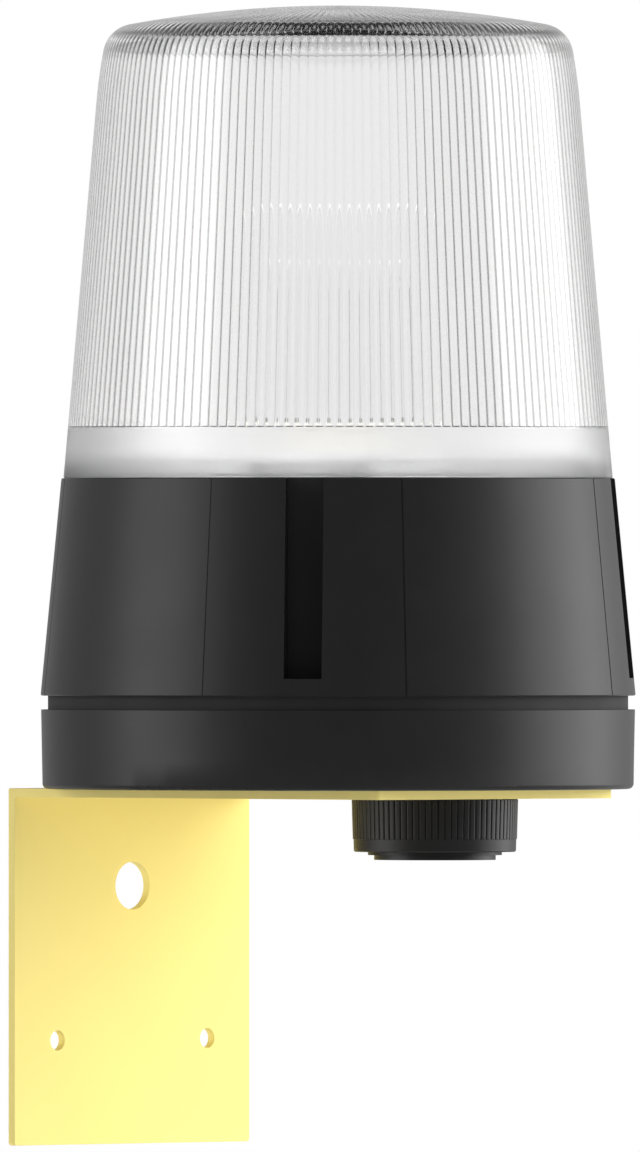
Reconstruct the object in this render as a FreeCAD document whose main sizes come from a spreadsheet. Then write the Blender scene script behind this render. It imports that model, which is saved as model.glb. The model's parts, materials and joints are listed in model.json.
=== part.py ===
import FreeCAD, Part
import math
import os
import re
import Sketcher
from FreeCAD import Placement, Rotation, Vector

# Wall-mounted strobe beacon with a buzzer. Millimetres, +Z up.
# The origin is on the wall, midway between the two fixing holes of the bracket.
# +X points away from the wall, +Y along the width of the bracket.
# The beacon stands on the bracket's shelf, and the buzzer hangs through the shelf's free end.
# Heights inside the beacon are counted from the top face of the shelf.

doc = FreeCAD.newDocument("StrobeBeacon")
sheet = doc.addObject("Spreadsheet::Sheet", "Dims")

SIZES = [
    # bracket
    ("SheetThick", 2.0, "bracket sheet thickness"),
    ("SheetWidth", 72.8, "bracket width"),
    ("ShelfMargin", 0.5, "shelf beyond the knurled ring"),
    ("LegMargin", 23.0, "leg below the fixing holes"),
    ("BendInside", 0.4, "inner radius of the bend"),
    ("BendOutside", 0.5, "outer radius of the bend, pressed sharp"),
    ("SheetCorner", 0.8, "radius of the sheet's corners"),
    ("CableHoleDrop", 21.7, "big hole below the shelf's top face"),
    ("CableHoleRadius", 5.25, "big hole in the leg"),
    ("FixingBelow", 33.9, "fixing holes below the big hole"),
    ("FixingEdge", 13.2, "fixing holes from the sides of the leg"),
    ("FixingRadius", 2.2, "fixing holes for 4 mm screws"),
    ("WallGap", 1.0, "gap between the pan's rim and the wall"),
    # base pan
    ("PanTopRadius", 65.1, "pan outside at its rim"),
    ("PanTaper", 0.3, "loss of radius down to the pan's foot"),
    ("PanHeight", 17.4, "pan height"),
    ("PanFootRound", 1.2, "rounding of the pan's lower edge"),
    ("PanWall", 2.8, "pan wall"),
    ("PanFloor", 2.5, "pan floor"),
    ("RimWidth", 7.6, "width of the rims that meet at the gasket"),
    ("RimThick", 3.0, "thickness of the pan's rim"),
    ("BossWall", 2.25, "plastic round a housing screw in the pan"),
    # gasket
    ("GasketInset", 1.5, "gasket set back from the pan's rim"),
    ("GasketThick", 3.05, "gasket thickness"),
    # housing
    ("HousingOverhang", 0.1, "housing foot beyond the pan's rim"),
    ("HousingFall", 4.55, "loss of radius up to the housing's top"),
    ("HousingHeight", 47.65, "housing height"),
    ("HousingWall", 2.2, "housing wall"),
    ("FlangeThick", 2.0, "housing foot flange"),
    ("DeckThick", 2.5, "housing deck under the lens"),
    ("DeckWidth", 14.0, "deck from its opening to the lens's opening"),
    ("SlotTurn", 38.1, "angle of the second slot from +X"),
    ("SlotClearance", 0.9, "screw head to the sides of a channel"),
    ("SlotFloorInset", 3.6, "flat floor of a channel behind the screw's centre"),
    ("LedgeThick", 3.85, "ledge at the bottom of a channel"),
    ("HeadSink", 2.05, "depth of the screw head's recess in the ledge"),
    ("SeamWide", 20.0, "seam either side of the first and third slots, degrees"),
    ("SeamNarrow", 16.4, "seam either side of the other slots, degrees"),
    ("SeamWidth", 0.4, "seam groove width"),
    ("SeamDepth", 0.3, "seam groove depth"),
    ("SealInset", 0.3, "lens seal beyond the edge of the lens's opening"),
    ("SealWidth", 1.8, "lens seal width"),
    ("SealThick", 1.2, "lens seal thickness"),
    # housing screws
    ("ScrewInset", 4.5, "housing screws in from the pan's rim"),
    ("HousingScrewRadius", 1.75, "housing screw shank"),
    ("HousingScrewLength", 15.0, "housing screw shank length"),
    ("HousingHeadRadius", 3.25, "housing screw head"),
    ("HousingHeadHeight", 2.0, "housing screw head height"),
    # base screws
    ("BaseScrewEdge", 2.4, "circle of the base screws in from the shelf's sides"),
    ("BaseScrewRadius", 2.0, "base screw shank"),
    ("BaseScrewLength", 11.0, "base screw length with its head"),
    ("BaseHeadRadius", 3.9, "base screw head"),
    ("BaseKeyRadius", 1.4, "hexagon recess of a base screw"),
    ("BaseKeyDepth", 1.6, "depth of the hexagon recess"),
    ("InsertShell", 1.0, "brass round a base screw"),
    ("InsertLength", 6.5, "brass insert length"),
    ("InsertWall", 2.0, "plastic round an insert"),
    # cable entry
    ("EntryOffset", 14.0, "cable entry from the beacon axis, towards the wall"),
    ("EntryBore", 4.5, "grommet bore"),
    ("GrommetWall", 2.4, "rubber round the bore"),
    ("GrommetLipReach", 1.4, "grommet lips beyond the neck"),
    ("GrommetLipThick", 1.8, "thickness of a lip"),
    # lens
    ("LensSetback", 0.45, "lens foot set back from the housing's top edge"),
    ("LensDraft", 5.0, "slope of the lens wall, degrees"),
    ("LensHeight", 103.55, "lens height"),
    ("LensWall", 2.6, "lens wall"),
    ("SoftDrop", 21.4, "height below the lens's top where the wall starts to round"),
    ("SoftRadius", 126.7, "long arc under the shoulder"),
    ("ShoulderRadius", 7.2, "shoulder radius"),
    ("CrownRadius", 257.0, "radius of the crown"),
    ("SmoothBand", 11.1, "smooth band at the lens foot"),
    ("RibDrop", 11.55, "upper ends of the ribs below the lens's top"),
    ("RibHeight", 0.9, "height of a lens rib"),
    ("RibCount", 165, "lens ribs"),
    ("LensFootWidth", 6.2, "width of the lens foot"),
    ("FootThick", 3.0, "thickness of the lens foot"),
    ("LugReach", 3.0, "lug length inwards"),
    ("LugHeight", 2.2, "lug height"),
    ("LugSpan", 24.0, "lug span, degrees"),
    # lamp tray
    ("TrayThick", 2.0, "tray plate"),
    ("CollarWall", 2.0, "tray collar wall"),
    ("HookSpan", 28.0, "hook span, degrees"),
    ("HookHeight", 2.2, "hook height"),
    ("TrayOpening", 9.0, "opening under the lamp socket"),
    # boards and posts
    ("PostInset", 5.0, "centre of a post behind the edge of the deck's opening"),
    ("PostWall", 2.0, "plastic round a screw in a post"),
    ("PostLength", 20.0, "post length under the deck"),
    ("PostTurn", 90.0, "angle of the first post"),
    ("SmallScrewRadius", 1.5, "board and tray screw shank"),
    ("SmallScrewLength", 7.0, "board and tray screw shank length"),
    ("SmallHeadRadius", 2.75, "board and tray screw head"),
    ("SmallHeadHeight", 2.0, "board and tray screw head height"),
    ("BoardClearance", 5.0, "board edge to the rim"),
    ("BoardThick", 1.6, "board thickness"),
    ("CapacitorRadius", 11.0, "storage capacitor"),
    ("CapacitorLength", 28.0, "storage capacitor length"),
    ("CapacitorOffsetX", -18.0, "storage capacitor from the axis, away from the wall"),
    ("CapacitorOffsetY", 20.0, "storage capacitor from the axis, sideways"),
    ("BeadRadius", 1.1, "rolled groove near the capacitor's foot"),
    ("BeadDrop", 3.7, "rolled groove below the board"),
    ("CoreLength", 26.0, "transformer core length"),
    ("CoreDepth", 10.0, "transformer core depth"),
    ("CoreHeight", 20.0, "transformer core height"),
    ("CoreLimb", 4.0, "transformer core's outer limbs"),
    ("CoreOffsetX", -17.0, "transformer from the axis, away from the wall"),
    ("CoreOffsetY", -20.0, "transformer from the axis, sideways"),
    ("WindingDepth", 18.0, "transformer winding depth"),
    ("TerminalCount", 4, "terminals"),
    ("TerminalPitch", 5.0, "terminal pitch"),
    ("TerminalDepth", 9.0, "terminal block depth"),
    ("TerminalHeight", 11.0, "terminal block height"),
    ("TerminalOffsetX", 14.0, "terminal block from the axis, away from the wall"),
    ("TerminalOffsetY", -30.0, "terminal block from the axis, sideways"),
    ("TerminalEntryWidth", 3.0, "wire entry width"),
    ("TerminalEntryHeight", 2.75, "wire entry height"),
    ("TerminalEntryDepth", 2.25, "wire entry depth"),
    ("TerminalEntryRise", 3.7, "wire entry above the foot of the block"),
    ("TerminalWellDepth", 2.75, "depth of a terminal screw's well"),
    ("TerminalScrewRadius", 1.6, "terminal screw"),
    ("TerminalSlotWidth", 0.8, "width and depth of a terminal screw's slot"),
    ("CoilRadius", 5.5, "trigger coil"),
    ("CoilHeight", 12.0, "trigger coil height"),
    ("CoilFlange", 1.5, "thickness of the trigger coil's ends"),
    ("CoilLip", 0.8, "height of the trigger coil's ends over its winding"),
    ("CoilOffsetX", 20.0, "trigger coil from the axis, away from the wall"),
    ("CoilOffsetY", 15.0, "trigger coil from the axis, sideways"),
    # lamp
    ("SocketMargin", 1.0, "lamp socket flange beyond the glass cover"),
    ("SocketFlange", 4.0, "lamp socket flange thickness"),
    ("SocketNose", 6.0, "lamp socket nose height"),
    ("BulbRadius", 13.0, "glass cover outside"),
    ("BulbWall", 1.2, "glass cover wall"),
    ("BulbHeight", 54.0, "glass cover height"),
    ("TubeRadius", 2.2, "flash tube"),
    ("TubeSpacing", 9.0, "distance between the tube's legs"),
    ("TubeLeg", 28.0, "tube leg above its caps"),
    ("CapWall", 0.3, "wall of a tube's end cap"),
    ("CapHeight", 6.0, "tube end cap height"),
    ("CapRise", 1.0, "ceramic under a tube's end cap"),
    ("LeadRadius", 0.8, "lamp lead"),
    ("LeadReach", 5.5, "lamp leads from the axis"),
    ("LeadCount", 3, "lamp leads"),
    ("TriggerRadius", 0.5, "trigger wire"),
    # buzzer
    ("BuzzerOffset", 29.9, "buzzer axis from the beacon axis"),
    ("NeckRadius", 14.0, "threaded neck"),
    ("NeckWall", 2.5, "wall of the neck"),
    ("BuzzerShoulder", 3.5, "buzzer case beyond its neck"),
    ("BuzzerDepth", 17.5, "buzzer case above its seal"),
    ("BuzzerWall", 3.0, "wall of the chamber over the sounder disc"),
    ("ChamberFloor", 4.5, "floor of the chamber above the seal"),
    ("SealRingThick", 1.0, "buzzer seal thickness"),
    ("DiscThick", 0.5, "sounder disc thickness"),
    ("CeramicInset", 5.8, "ceramic of the sounder disc from the chamber's wall"),
    ("LidThick", 2.5, "buzzer lid thickness"),
    ("PinRadius", 0.8, "buzzer pin and its lead"),
    ("PinLength", 5.0, "buzzer pin above the lid"),
    ("PinSpacing", 8.0, "distance between the buzzer pins"),
    ("RingWall", 4.2, "knurled ring beyond the neck"),
    ("RingTaper", 0.33, "loss of radius down the ring"),
    ("RingHeight", 11.6, "knurled ring height"),
    ("KnurlHeight", 8.8, "knurled length"),
    ("KnurlDepth", 0.45, "knurl depth"),
    ("KnurlCount", 80, "knurls"),
    ("GrilleLip", 0.65, "grille flange beyond the neck"),
    ("GrilleStep", 0.7, "grille flange thickness"),
    ("GrilleSetback", 0.7, "grille face within the neck"),
    ("GrilleFace", 1.05, "grille face thickness"),
    ("GrilleSpigot", 2.0, "grille spigot height"),
    ("SoundHoleRadius", 1.6, "sound hole"),
    ("SoundHoleReach", 7.0, "outer sound holes from the middle one"),
    ("SoundHoleCount", 6, "sound holes round the middle one"),
    # fits
    ("ThreadFit", 0.05, "radial clearance of a screw in its thread"),
    ("LooseFit", 0.3, "clearance of a piece in its opening"),
    ("RunningGap", 0.3, "clearance between the turning lens and the tray"),
    ("Overrun", 1.0, "how far a cut runs past its piece"),
]

# Heights and radii that follow from the sizes.
DERIVED = [
    ("AxisReach", "PanTopRadius + WallGap"),
    ("FixingDrop", "CableHoleDrop + FixingBelow"),
    ("FixingPitch", "SheetWidth - 2 * FixingEdge"),
    ("LegDrop", "FixingDrop + LegMargin"),
    ("PanFootRadius", "PanTopRadius - PanTaper"),
    ("GasketRadius", "PanTopRadius - GasketInset"),
    ("HousingFootRadius", "PanTopRadius + HousingOverhang"),
    ("HousingTopRadius", "HousingFootRadius - HousingFall"),
    ("HousingScrewRing", "PanTopRadius - ScrewInset"),
    ("ScrewBossRadius", "HousingScrewRadius + BossWall"),
    ("SlotWidth", "2 * (HousingHeadRadius + SlotClearance)"),
    ("SlotFloorRadius", "HousingScrewRing - SlotFloorInset"),
    ("BaseScrewRing", "SheetWidth / 2 - BaseScrewEdge"),
    ("InsertRadius", "BaseScrewRadius + InsertShell"),
    ("GrommetNeck", "EntryBore + GrommetWall"),
    ("GrommetLip", "GrommetNeck + GrommetLipReach"),
    ("LensFootRadius", "HousingTopRadius - LensSetback"),
    ("FootOpening", "LensFootRadius - LensFootWidth"),
    ("SoftStart", "LensHeight - SoftDrop"),
    ("RibTop", "LensHeight - RibDrop"),
    ("SealRadius", "FootOpening + SealInset"),
    ("DeckOpening", "FootOpening - DeckWidth"),
    ("PostRing", "DeckOpening + PostInset"),
    ("PostRadius", "SmallScrewRadius + PostWall"),
    ("HousingFoot", "PanHeight + GasketThick"),
    ("DeckTop", "HousingFoot + HousingHeight"),
    ("DeckUnder", "DeckTop - DeckThick"),
    ("RimInner", "PanTopRadius - RimWidth"),
    ("LedgeTop", "HousingFoot + LedgeThick"),
    ("HeadSeat", "LedgeTop - HeadSink"),
    ("HousingSlope", "(HousingFootRadius - HousingTopRadius) / HousingHeight"),
    ("BoardTop", "DeckUnder - PostLength"),
    ("BoardHeight", "BoardTop - BoardThick"),
    ("BoardRadius", "RimInner - BoardClearance"),
    ("LugInner", "FootOpening - LugReach"),
    ("HookReach", "LugReach - RunningGap"),
    ("CollarRadius", "LugInner - RunningGap"),
    ("HookUnder", "DeckTop + FootThick + RunningGap"),
    ("CollarHeight", "FootThick + RunningGap + HookHeight"),
    ("TrayTop", "DeckTop + TrayThick"),
    ("SocketShoulder", "TrayTop + SocketFlange"),
    ("SocketRadius", "BulbRadius + SocketMargin"),
    ("CapRadius", "TubeRadius + CapWall"),
    ("CapFoot", "SocketShoulder + CapRise"),
    ("CapTop", "CapFoot + CapHeight"),
    ("NeckBore", "NeckRadius - NeckWall"),
    ("BuzzerRadius", "NeckRadius + BuzzerShoulder"),
    ("ChamberRadius", "BuzzerRadius - BuzzerWall"),
    ("RingRadius", "NeckRadius + RingWall"),
    ("GrilleStepRadius", "NeckRadius + GrilleLip"),
    ("GrilleRadius", "NeckRadius - GrilleSetback"),
    ("ShelfLength", "AxisReach + BuzzerOffset + RingRadius + ShelfMargin"),
    ("BuzzerSeat", "PanFloor + SealRingThick"),
    ("BuzzerTop", "BuzzerSeat + BuzzerDepth"),
    ("RingFoot", "-SheetThick - RingHeight"),
    ("PinTop", "BuzzerTop + PinLength"),
]


def fill_sheet():
    row = 1
    for alias, value, note in SIZES:
        sheet.set("A%d" % row, note)
        sheet.set("B%d" % row, str(value))
        sheet.setAlias("B%d" % row, alias)
        row += 1
    for alias, formula in DERIVED:
        sheet.set("A%d" % row, "follows")
        sheet.set("B%d" % row, "=" + formula)
        sheet.setAlias("B%d" % row, alias)
        row += 1
    doc.recompute()


fill_sheet()
ALIASES = {entry[0] for entry in SIZES} | {entry[0] for entry in DERIVED}


def bound(text):
    """A formula in which each size is read from the sheet."""
    def swap(match):
        word = match.group(0)
        return "Dims." + word if word in ALIASES else word
    return re.sub(r"[A-Za-z_]\w*", swap, text)


def value(text):
    """The present value of a formula."""
    result = sheet.evalExpression(bound(text))
    return float(getattr(result, "Value", result))


def tie(obj, **paths):
    """Bind properties of an object to formulas; a double underscore stands for a dot."""
    for path, text in paths.items():
        if text != "0":
            obj.setExpression(path.replace("__", "."), bound(text))
    return obj


def place(obj, x="0", y="0", z="0"):
    return tie(obj, Placement__Base__x=x, Placement__Base__y=y, Placement__Base__z=z)


def turn(obj, angle):
    """Turn an object about the vertical through its own origin."""
    return tie(obj, Placement__Rotation__Angle="(%s) * 1 deg" % angle)


def polar(radius, angle):
    """The two coordinates of a place on a circle round the axis."""
    along = "(%s) * cos((%s) * 1 deg)" % (radius, angle)
    across = "(%s) * sin((%s) * 1 deg)" % (radius, angle)
    return along, across


def cylinder(name, radius, height, x="0", y="0", z="0"):
    obj = doc.addObject("Part::Cylinder", name)
    tie(obj, Radius=radius, Height=height)
    return place(obj, x, y, z)


def cone(name, lower, upper, height, x="0", y="0", z="0"):
    obj = doc.addObject("Part::Cone", name)
    tie(obj, Radius1=lower, Radius2=upper, Height=height)
    return place(obj, x, y, z)


def block(name, length, width, height, x="0", y="0", z="0"):
    """A box centred on x and y, standing on z."""
    obj = doc.addObject("Part::Box", name)
    tie(obj, Length=length, Width=width, Height=height)
    return place(obj, "(%s) - (%s) / 2" % (x, length), "(%s) - (%s) / 2" % (y, width), z)


def cut(name, base, *tools):
    obj = doc.addObject("Part::Cut", name)
    obj.Base = base
    obj.Tool = tools[0] if len(tools) == 1 else fuse(name + "_tools", *tools)
    return obj


def fuse(name, *shapes):
    obj = doc.addObject("Part::MultiFuse", name)
    obj.Shapes = list(shapes)
    return obj


def common(name, base, tool):
    obj = doc.addObject("Part::Common", name)
    obj.Base = base
    obj.Tool = tool
    return obj


def group(name, members):
    """Like pieces kept as separate solids of one sub-part."""
    obj = doc.addObject("Part::Compound", name)
    obj.Links = members
    return obj


def tube(name, outer, inner, height, x="0", y="0", z="0"):
    wall = cylinder(name + "_outer", outer, height, x, y, z)
    return cut(name, wall, cylinder(name + "_inner", inner, height, x, y, z))


def sector(name, outer, inner, height, span, angle, z):
    """An arc-shaped block round the axis, centred on an angle."""
    wedge = cylinder(name + "_wedge", outer, height, z=z)
    tie(wedge, Angle="(%s) * 1 deg" % span)
    turn(wedge, "(%s) - (%s) / 2" % (angle, span))
    return cut(name, wedge, cylinder(name + "_core", inner, height, z=z))


def plane_of(body, role):
    return next(item for item in body.Origin.OriginFeatures if item.Role == role)


def sketch_on(body, name, role):
    sketch = body.newObject("Sketcher::SketchObject", name)
    sketch.AttachmentSupport = [(plane_of(body, role), "")]
    sketch.MapMode = "FlatFace"
    return sketch


def pin_point(sketch, geometry, end, x, y):
    """Hold a point of a sketch at two formulas."""
    for kind, text in (("DistanceX", x), ("DistanceY", y)):
        if text == "0":
            axis = -2 if kind == "DistanceX" else -1
            sketch.addConstraint(Sketcher.Constraint("PointOnObject", geometry, end, axis))
            continue
        held = Sketcher.Constraint(kind, -1, 1, geometry, end, value(text))
        index = sketch.addConstraint(held)
        sketch.setExpression("Constraints[%d]" % index, bound(text))


def closed_outline(sketch, corners):
    """A closed outline of straight edges; a corner may name the radius of an arc to the next one."""
    spots = [Vector(value(corner[0]), value(corner[1]), 0) for corner in corners]
    edges = []
    for index, corner in enumerate(corners):
        start = spots[index]
        stop = spots[(index + 1) % len(corners)]
        if len(corner) == 3:
            radius = value(corner[2])
            chord = stop - start
            middle = (start + stop) * 0.5
            inward = Vector(-chord.y, chord.x, 0).normalize()
            reach = math.sqrt(max(radius ** 2 - (chord.Length / 2) ** 2, 0))
            centre = middle + inward * reach
            first = math.atan2(start.y - centre.y, start.x - centre.x)
            last = math.atan2(stop.y - centre.y, stop.x - centre.x)
            circle = Part.Circle(centre, Vector(0, 0, 1), radius)
            edge = sketch.addGeometry(Part.ArcOfCircle(circle, first, last), False)
            held = sketch.addConstraint(Sketcher.Constraint("Radius", edge, radius))
            sketch.setExpression("Constraints[%d]" % held, bound(corner[2]))
        else:
            edge = sketch.addGeometry(Part.LineSegment(start, stop), False)
        edges.append(edge)
    for index, edge in enumerate(edges):
        following = edges[(index + 1) % len(edges)]
        sketch.addConstraint(Sketcher.Constraint("Coincident", edge, 2, following, 1))
        pin_point(sketch, edge, 1, corners[index][0], corners[index][1])


def turned(name, corners):
    """A body turned round the vertical axis from its half section."""
    body = doc.addObject("PartDesign::Body", name)
    sketch = sketch_on(body, name + "_section", "XZ_Plane")
    closed_outline(sketch, corners)
    lathe = body.newObject("PartDesign::Revolution", name + "_turn")
    lathe.Profile = sketch
    lathe.ReferenceAxis = (sketch, ["V_Axis"])
    lathe.Angle = 360
    return body


def fluted(name, foot_radius, top_radius, depth, count, low, high):
    """A solid with a zigzag outline that narrows evenly from its foot to its top."""
    def ring(radius, height):
        points = []
        for step in range(2 * count):
            reach = radius if step % 2 == 0 else radius * (1 - depth / foot_radius)
            angle = math.pi * step / count
            points.append(Vector(reach * math.cos(angle), reach * math.sin(angle), height))
        return points
    foot = ring(foot_radius, low)
    top = ring(top_radius, high)
    faces = [Part.Face(Part.makePolygon(foot + foot[:1]))]
    faces.append(Part.Face(Part.makePolygon(top + top[:1])))
    for step in range(2 * count):
        after = (step + 1) % (2 * count)
        corners = [foot[step], foot[after], top[after], top[step], foot[step]]
        faces.append(Part.Face(Part.makePolygon(corners)))
    solid = Part.makeSolid(Part.makeShell(faces))
    if solid.Volume < 0:
        solid.reverse()
    obj = doc.addObject("Part::Feature", name)
    obj.Shape = solid
    return obj


def on_beacon(obj):
    """Stand a finished sub-part on the shelf, on the beacon's axis."""
    return place(obj, "AxisReach", "0", "FixingDrop")


def on_buzzer(obj):
    """Set a finished sub-part on the buzzer's axis."""
    return place(obj, "AxisReach + BuzzerOffset", "0", "FixingDrop")


# Points nearer than this are the same point.
TOUCHING = 0.01
# Length and width of a cross recess, in radii of the screw's head.
CROSS_LENGTH = 1.2
CROSS_WIDTH = 0.25
BASE_SCREW_ANGLES = ["60", "180", "300"]
SLOT_ANGLES = ["SlotTurn - 90", "SlotTurn", "SlotTurn + 90", "SlotTurn + 180"]
POST_ANGLES = ["PostTurn", "PostTurn + 120", "PostTurn + 240"]


# Wall bracket: one folded sheet, a leg on the wall and a shelf.
def make_bracket():
    body = doc.addObject("PartDesign::Body", "bracket_sheet")
    section = sketch_on(body, "bracket_section", "XZ_Plane")
    closed_outline(section, [
        ("0", "-LegDrop"),
        ("SheetThick", "-LegDrop"),
        ("SheetThick", "-SheetThick"),
        ("ShelfLength", "-SheetThick"),
        ("ShelfLength", "0"),
        ("0", "0"),
    ])
    folded = body.newObject("PartDesign::Pad", "bracket_pad")
    folded.Profile = section
    folded.Midplane = True
    tie(folded, Length="SheetWidth")
    thick = value("SheetThick")
    width = value("SheetWidth")
    corner = Vector(thick, 0, -thick)
    folded = rounded(body, folded, "bend_inside", "BendInside",
                     lambda edge: edge.CenterOfMass.isEqual(corner, TOUCHING))
    folded = rounded(body, folded, "bend_outside", "BendOutside",
                     lambda edge: edge.CenterOfMass.isEqual(Vector(), TOUCHING))
    ends = (value("ShelfLength"), -value("LegDrop"))
    rounded(body, folded, "sheet_corners", "SheetCorner",
            lambda edge: abs(edge.Length - thick) < TOUCHING
            and abs(abs(edge.CenterOfMass.y) - width / 2) < TOUCHING
            and (edge.CenterOfMass.x > ends[0] - TOUCHING
                 or edge.CenterOfMass.z < ends[1] + TOUCHING))

    reach = "3 * SheetThick"
    holes = [lying_cylinder("cable_hole", "CableHoleRadius", reach, "0", "-CableHoleDrop")]
    for name, side in (("fixing_hole_near", "-"), ("fixing_hole_far", "")):
        across = side + "FixingPitch / 2"
        holes.append(lying_cylinder(name, "FixingRadius", reach, across, "-FixingDrop"))
    below = "-2 * SheetThick"
    entry_x = "AxisReach - EntryOffset"
    holes.append(cylinder("entry_hole", "GrommetLip + LooseFit", reach, entry_x, z=below))
    buzzer_x = "AxisReach + BuzzerOffset"
    holes.append(cylinder("neck_hole", "NeckRadius + LooseFit", reach, buzzer_x, z=below))
    for number, angle in enumerate(BASE_SCREW_ANGLES, 1):
        x, y = polar("BaseScrewRing", angle)
        x = "AxisReach + " + x
        holes.append(countersink("sink_%d" % number, "ThreadFit", x, y))
        clear = "BaseScrewRadius + LooseFit"
        holes.append(cylinder("bolt_hole_%d" % number, clear, reach, x, y, below))
    bracket = cut("wall_bracket", body, *holes)
    return place(bracket, "0", "0", "FixingDrop")


def rounded(body, feature, name, radius, chosen):
    """Round the edges of a feature that pass a test."""
    doc.recompute()
    names = []
    for number, edge in enumerate(feature.Shape.Edges, 1):
        if chosen(edge):
            names.append("Edge%d" % number)
    fillet = body.newObject("PartDesign::Fillet", name)
    fillet.Base = (feature, names)
    return tie(fillet, Radius=radius)


def lying_cylinder(name, radius, length, y, z):
    """A cylinder along X through the bracket's leg."""
    obj = cylinder(name, radius, length, "-SheetThick", y, z)
    obj.Placement = Placement(obj.Placement.Base, Rotation(Vector(0, 1, 0), 90))
    return obj


def countersink(name, gap, x, y):
    """The cone of a countersunk head, flush with the shelf's underside."""
    height = "BaseHeadRadius - BaseScrewRadius"
    wide = "BaseHeadRadius + " + gap
    narrow = "BaseScrewRadius + " + gap
    return cone(name, wide, narrow, height, x, y, "-SheetThick")


# Base pan: moulded dish with bosses for both sets of screws.
def make_pan():
    wall_inner = "PanTopRadius - PanWall"
    dish = turned("pan_dish", [
        ("0", "0"),
        ("PanFootRadius - PanFootRound", "0", "PanFootRound"),
        ("PanFootRadius", "PanFootRound"),
        ("PanTopRadius", "PanHeight"),
        ("RimInner", "PanHeight"),
        ("RimInner", "PanHeight - RimThick"),
        (wall_inner, "PanHeight - RimThick"),
        (wall_inner, "PanFloor"),
        ("0", "PanFloor"),
    ])
    solids = [dish]
    holes = []
    for number, angle in enumerate(SLOT_ANGLES, 1):
        x, y = polar("HousingScrewRing", angle)
        name = "pan_boss_%d" % number
        rise = "PanHeight - PanFloor"
        solids.append(cylinder(name, "ScrewBossRadius", rise, x, y, "PanFloor"))
        bore = "HousingScrewRadius + ThreadFit"
        holes.append(cylinder(name + "_bore", bore, "PanHeight", x, y, "PanFloor"))
    for number, angle in enumerate(BASE_SCREW_ANGLES, 1):
        x, y = polar("BaseScrewRing", angle)
        name = "insert_boss_%d" % number
        wide = "InsertRadius + InsertWall"
        solids.append(cylinder(name, wide, "InsertLength", x, y, "PanFloor"))
        pocket = "InsertRadius + ThreadFit"
        holes.append(cylinder(name + "_bore", pocket, "2 * InsertLength", x, y, "PanFloor"))
        clear = "BaseScrewRadius + LooseFit"
        holes.append(cylinder(name + "_clear", clear, "3 * PanFloor", x, y, "-PanFloor"))
    neck = "GrommetNeck + ThreadFit"
    holes.append(cylinder("pan_entry", neck, "3 * PanFloor", "-EntryOffset", z="-PanFloor"))
    duct = "NeckRadius + LooseFit"
    holes.append(cylinder("pan_duct", duct, "3 * PanFloor", "BuzzerOffset", z="-PanFloor"))
    body = fuse("pan_body", *solids)
    return on_beacon(cut("base_pan", body, *holes))


# Gasket between the pan and the housing, set back from both.
def make_gasket():
    band = tube("gasket_band", "GasketRadius", "RimInner", "GasketThick", z="PanHeight")
    holes = []
    for number, angle in enumerate(SLOT_ANGLES, 1):
        x, y = polar("HousingScrewRing", angle)
        clear = "HousingScrewRadius + ThreadFit"
        holes.append(cylinder("gasket_hole_%d" % number, clear, "3 * GasketThick", x, y,
                              "PanHeight - GasketThick"))
    return on_beacon(cut("base_gasket", band, *holes))


# Housing: conical shell with a deck, four screw channels and moulded seams.
def make_housing():
    foot = "HousingFoot"
    outer = cone("housing_outer", "HousingFootRadius", "HousingTopRadius", "HousingHeight", z=foot)
    low = "FlangeThick"
    high = "HousingHeight - DeckThick"
    hollow = cone("housing_hollow",
                  "HousingFootRadius - HousingWall - HousingSlope * (%s)" % low,
                  "HousingFootRadius - HousingWall - HousingSlope * (%s)" % high,
                  "(%s) - (%s)" % (high, low), z="HousingFoot + FlangeThick")
    mouth = cylinder("housing_mouth", "RimInner", "2 * FlangeThick", z="HousingFoot - FlangeThick / 2")
    opening = cylinder("deck_opening", "DeckOpening", "3 * DeckThick", z="DeckTop - 2 * DeckThick")
    shell = cut("housing_shell", outer, hollow, mouth, opening)

    walls = []
    channels = []
    for number, angle in enumerate(SLOT_ANGLES, 1):
        wall_start = "(SlotFloorRadius - HousingWall)"
        wall = slab("channel_wall_%d" % number, wall_start, "SlotWidth + 2 * HousingWall",
                    "HousingHeight", foot, angle)
        walls.append(wall)
        channels.append(slab("channel_%d" % number, "SlotFloorRadius", "SlotWidth",
                             "HousingHeight", "LedgeTop", angle))
        x, y = polar("HousingScrewRing", angle)
        head = "HousingHeadRadius + LooseFit"
        channels.append(cylinder("head_recess_%d" % number, head, "LedgeThick", x, y, "HeadSeat"))
        shank = "HousingScrewRadius + LooseFit"
        channels.append(cylinder("ledge_hole_%d" % number, shank, "2 * LedgeThick", x, y,
                                 "HousingFoot - LedgeThick / 2"))
    channel_walls = common("channel_walls", fuse("channel_slabs", *walls), outer)

    posts = []
    for number, angle in enumerate(POST_ANGLES, 1):
        x, y = polar("PostRing", angle)
        posts.append(cylinder("post_%d" % number, "PostRadius", "PostLength", x, y, "BoardTop"))
        bore = "SmallScrewRadius + ThreadFit"
        channels.append(cylinder("post_bore_%d" % number, bore, "PostLength + 2 * DeckThick",
                                 x, y, "BoardTop - DeckThick / 2"))
    groove = tube("seal_groove", "SealRadius + SealWidth + ThreadFit", "SealRadius - ThreadFit",
                  "2 * SealThick", z="DeckTop - SealThick")
    body = fuse("housing_body", shell, channel_walls, *posts)
    return on_beacon(cut("housing", body, groove, make_seams(), *channels))


def slab(name, start, width, height, z, angle):
    """A radial box that begins at a distance from the axis and runs out past the wall."""
    obj = doc.addObject("Part::Box", name)
    tie(obj, Length="HousingFootRadius", Width=width, Height=height)
    turn(obj, angle)
    x = "(%s) * cos((%s) * 1 deg) + (%s) / 2 * sin((%s) * 1 deg)" % (start, angle, width, angle)
    y = "(%s) * sin((%s) * 1 deg) - (%s) / 2 * cos((%s) * 1 deg)" % (start, angle, width, angle)
    return place(obj, x, y, z)


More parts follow.
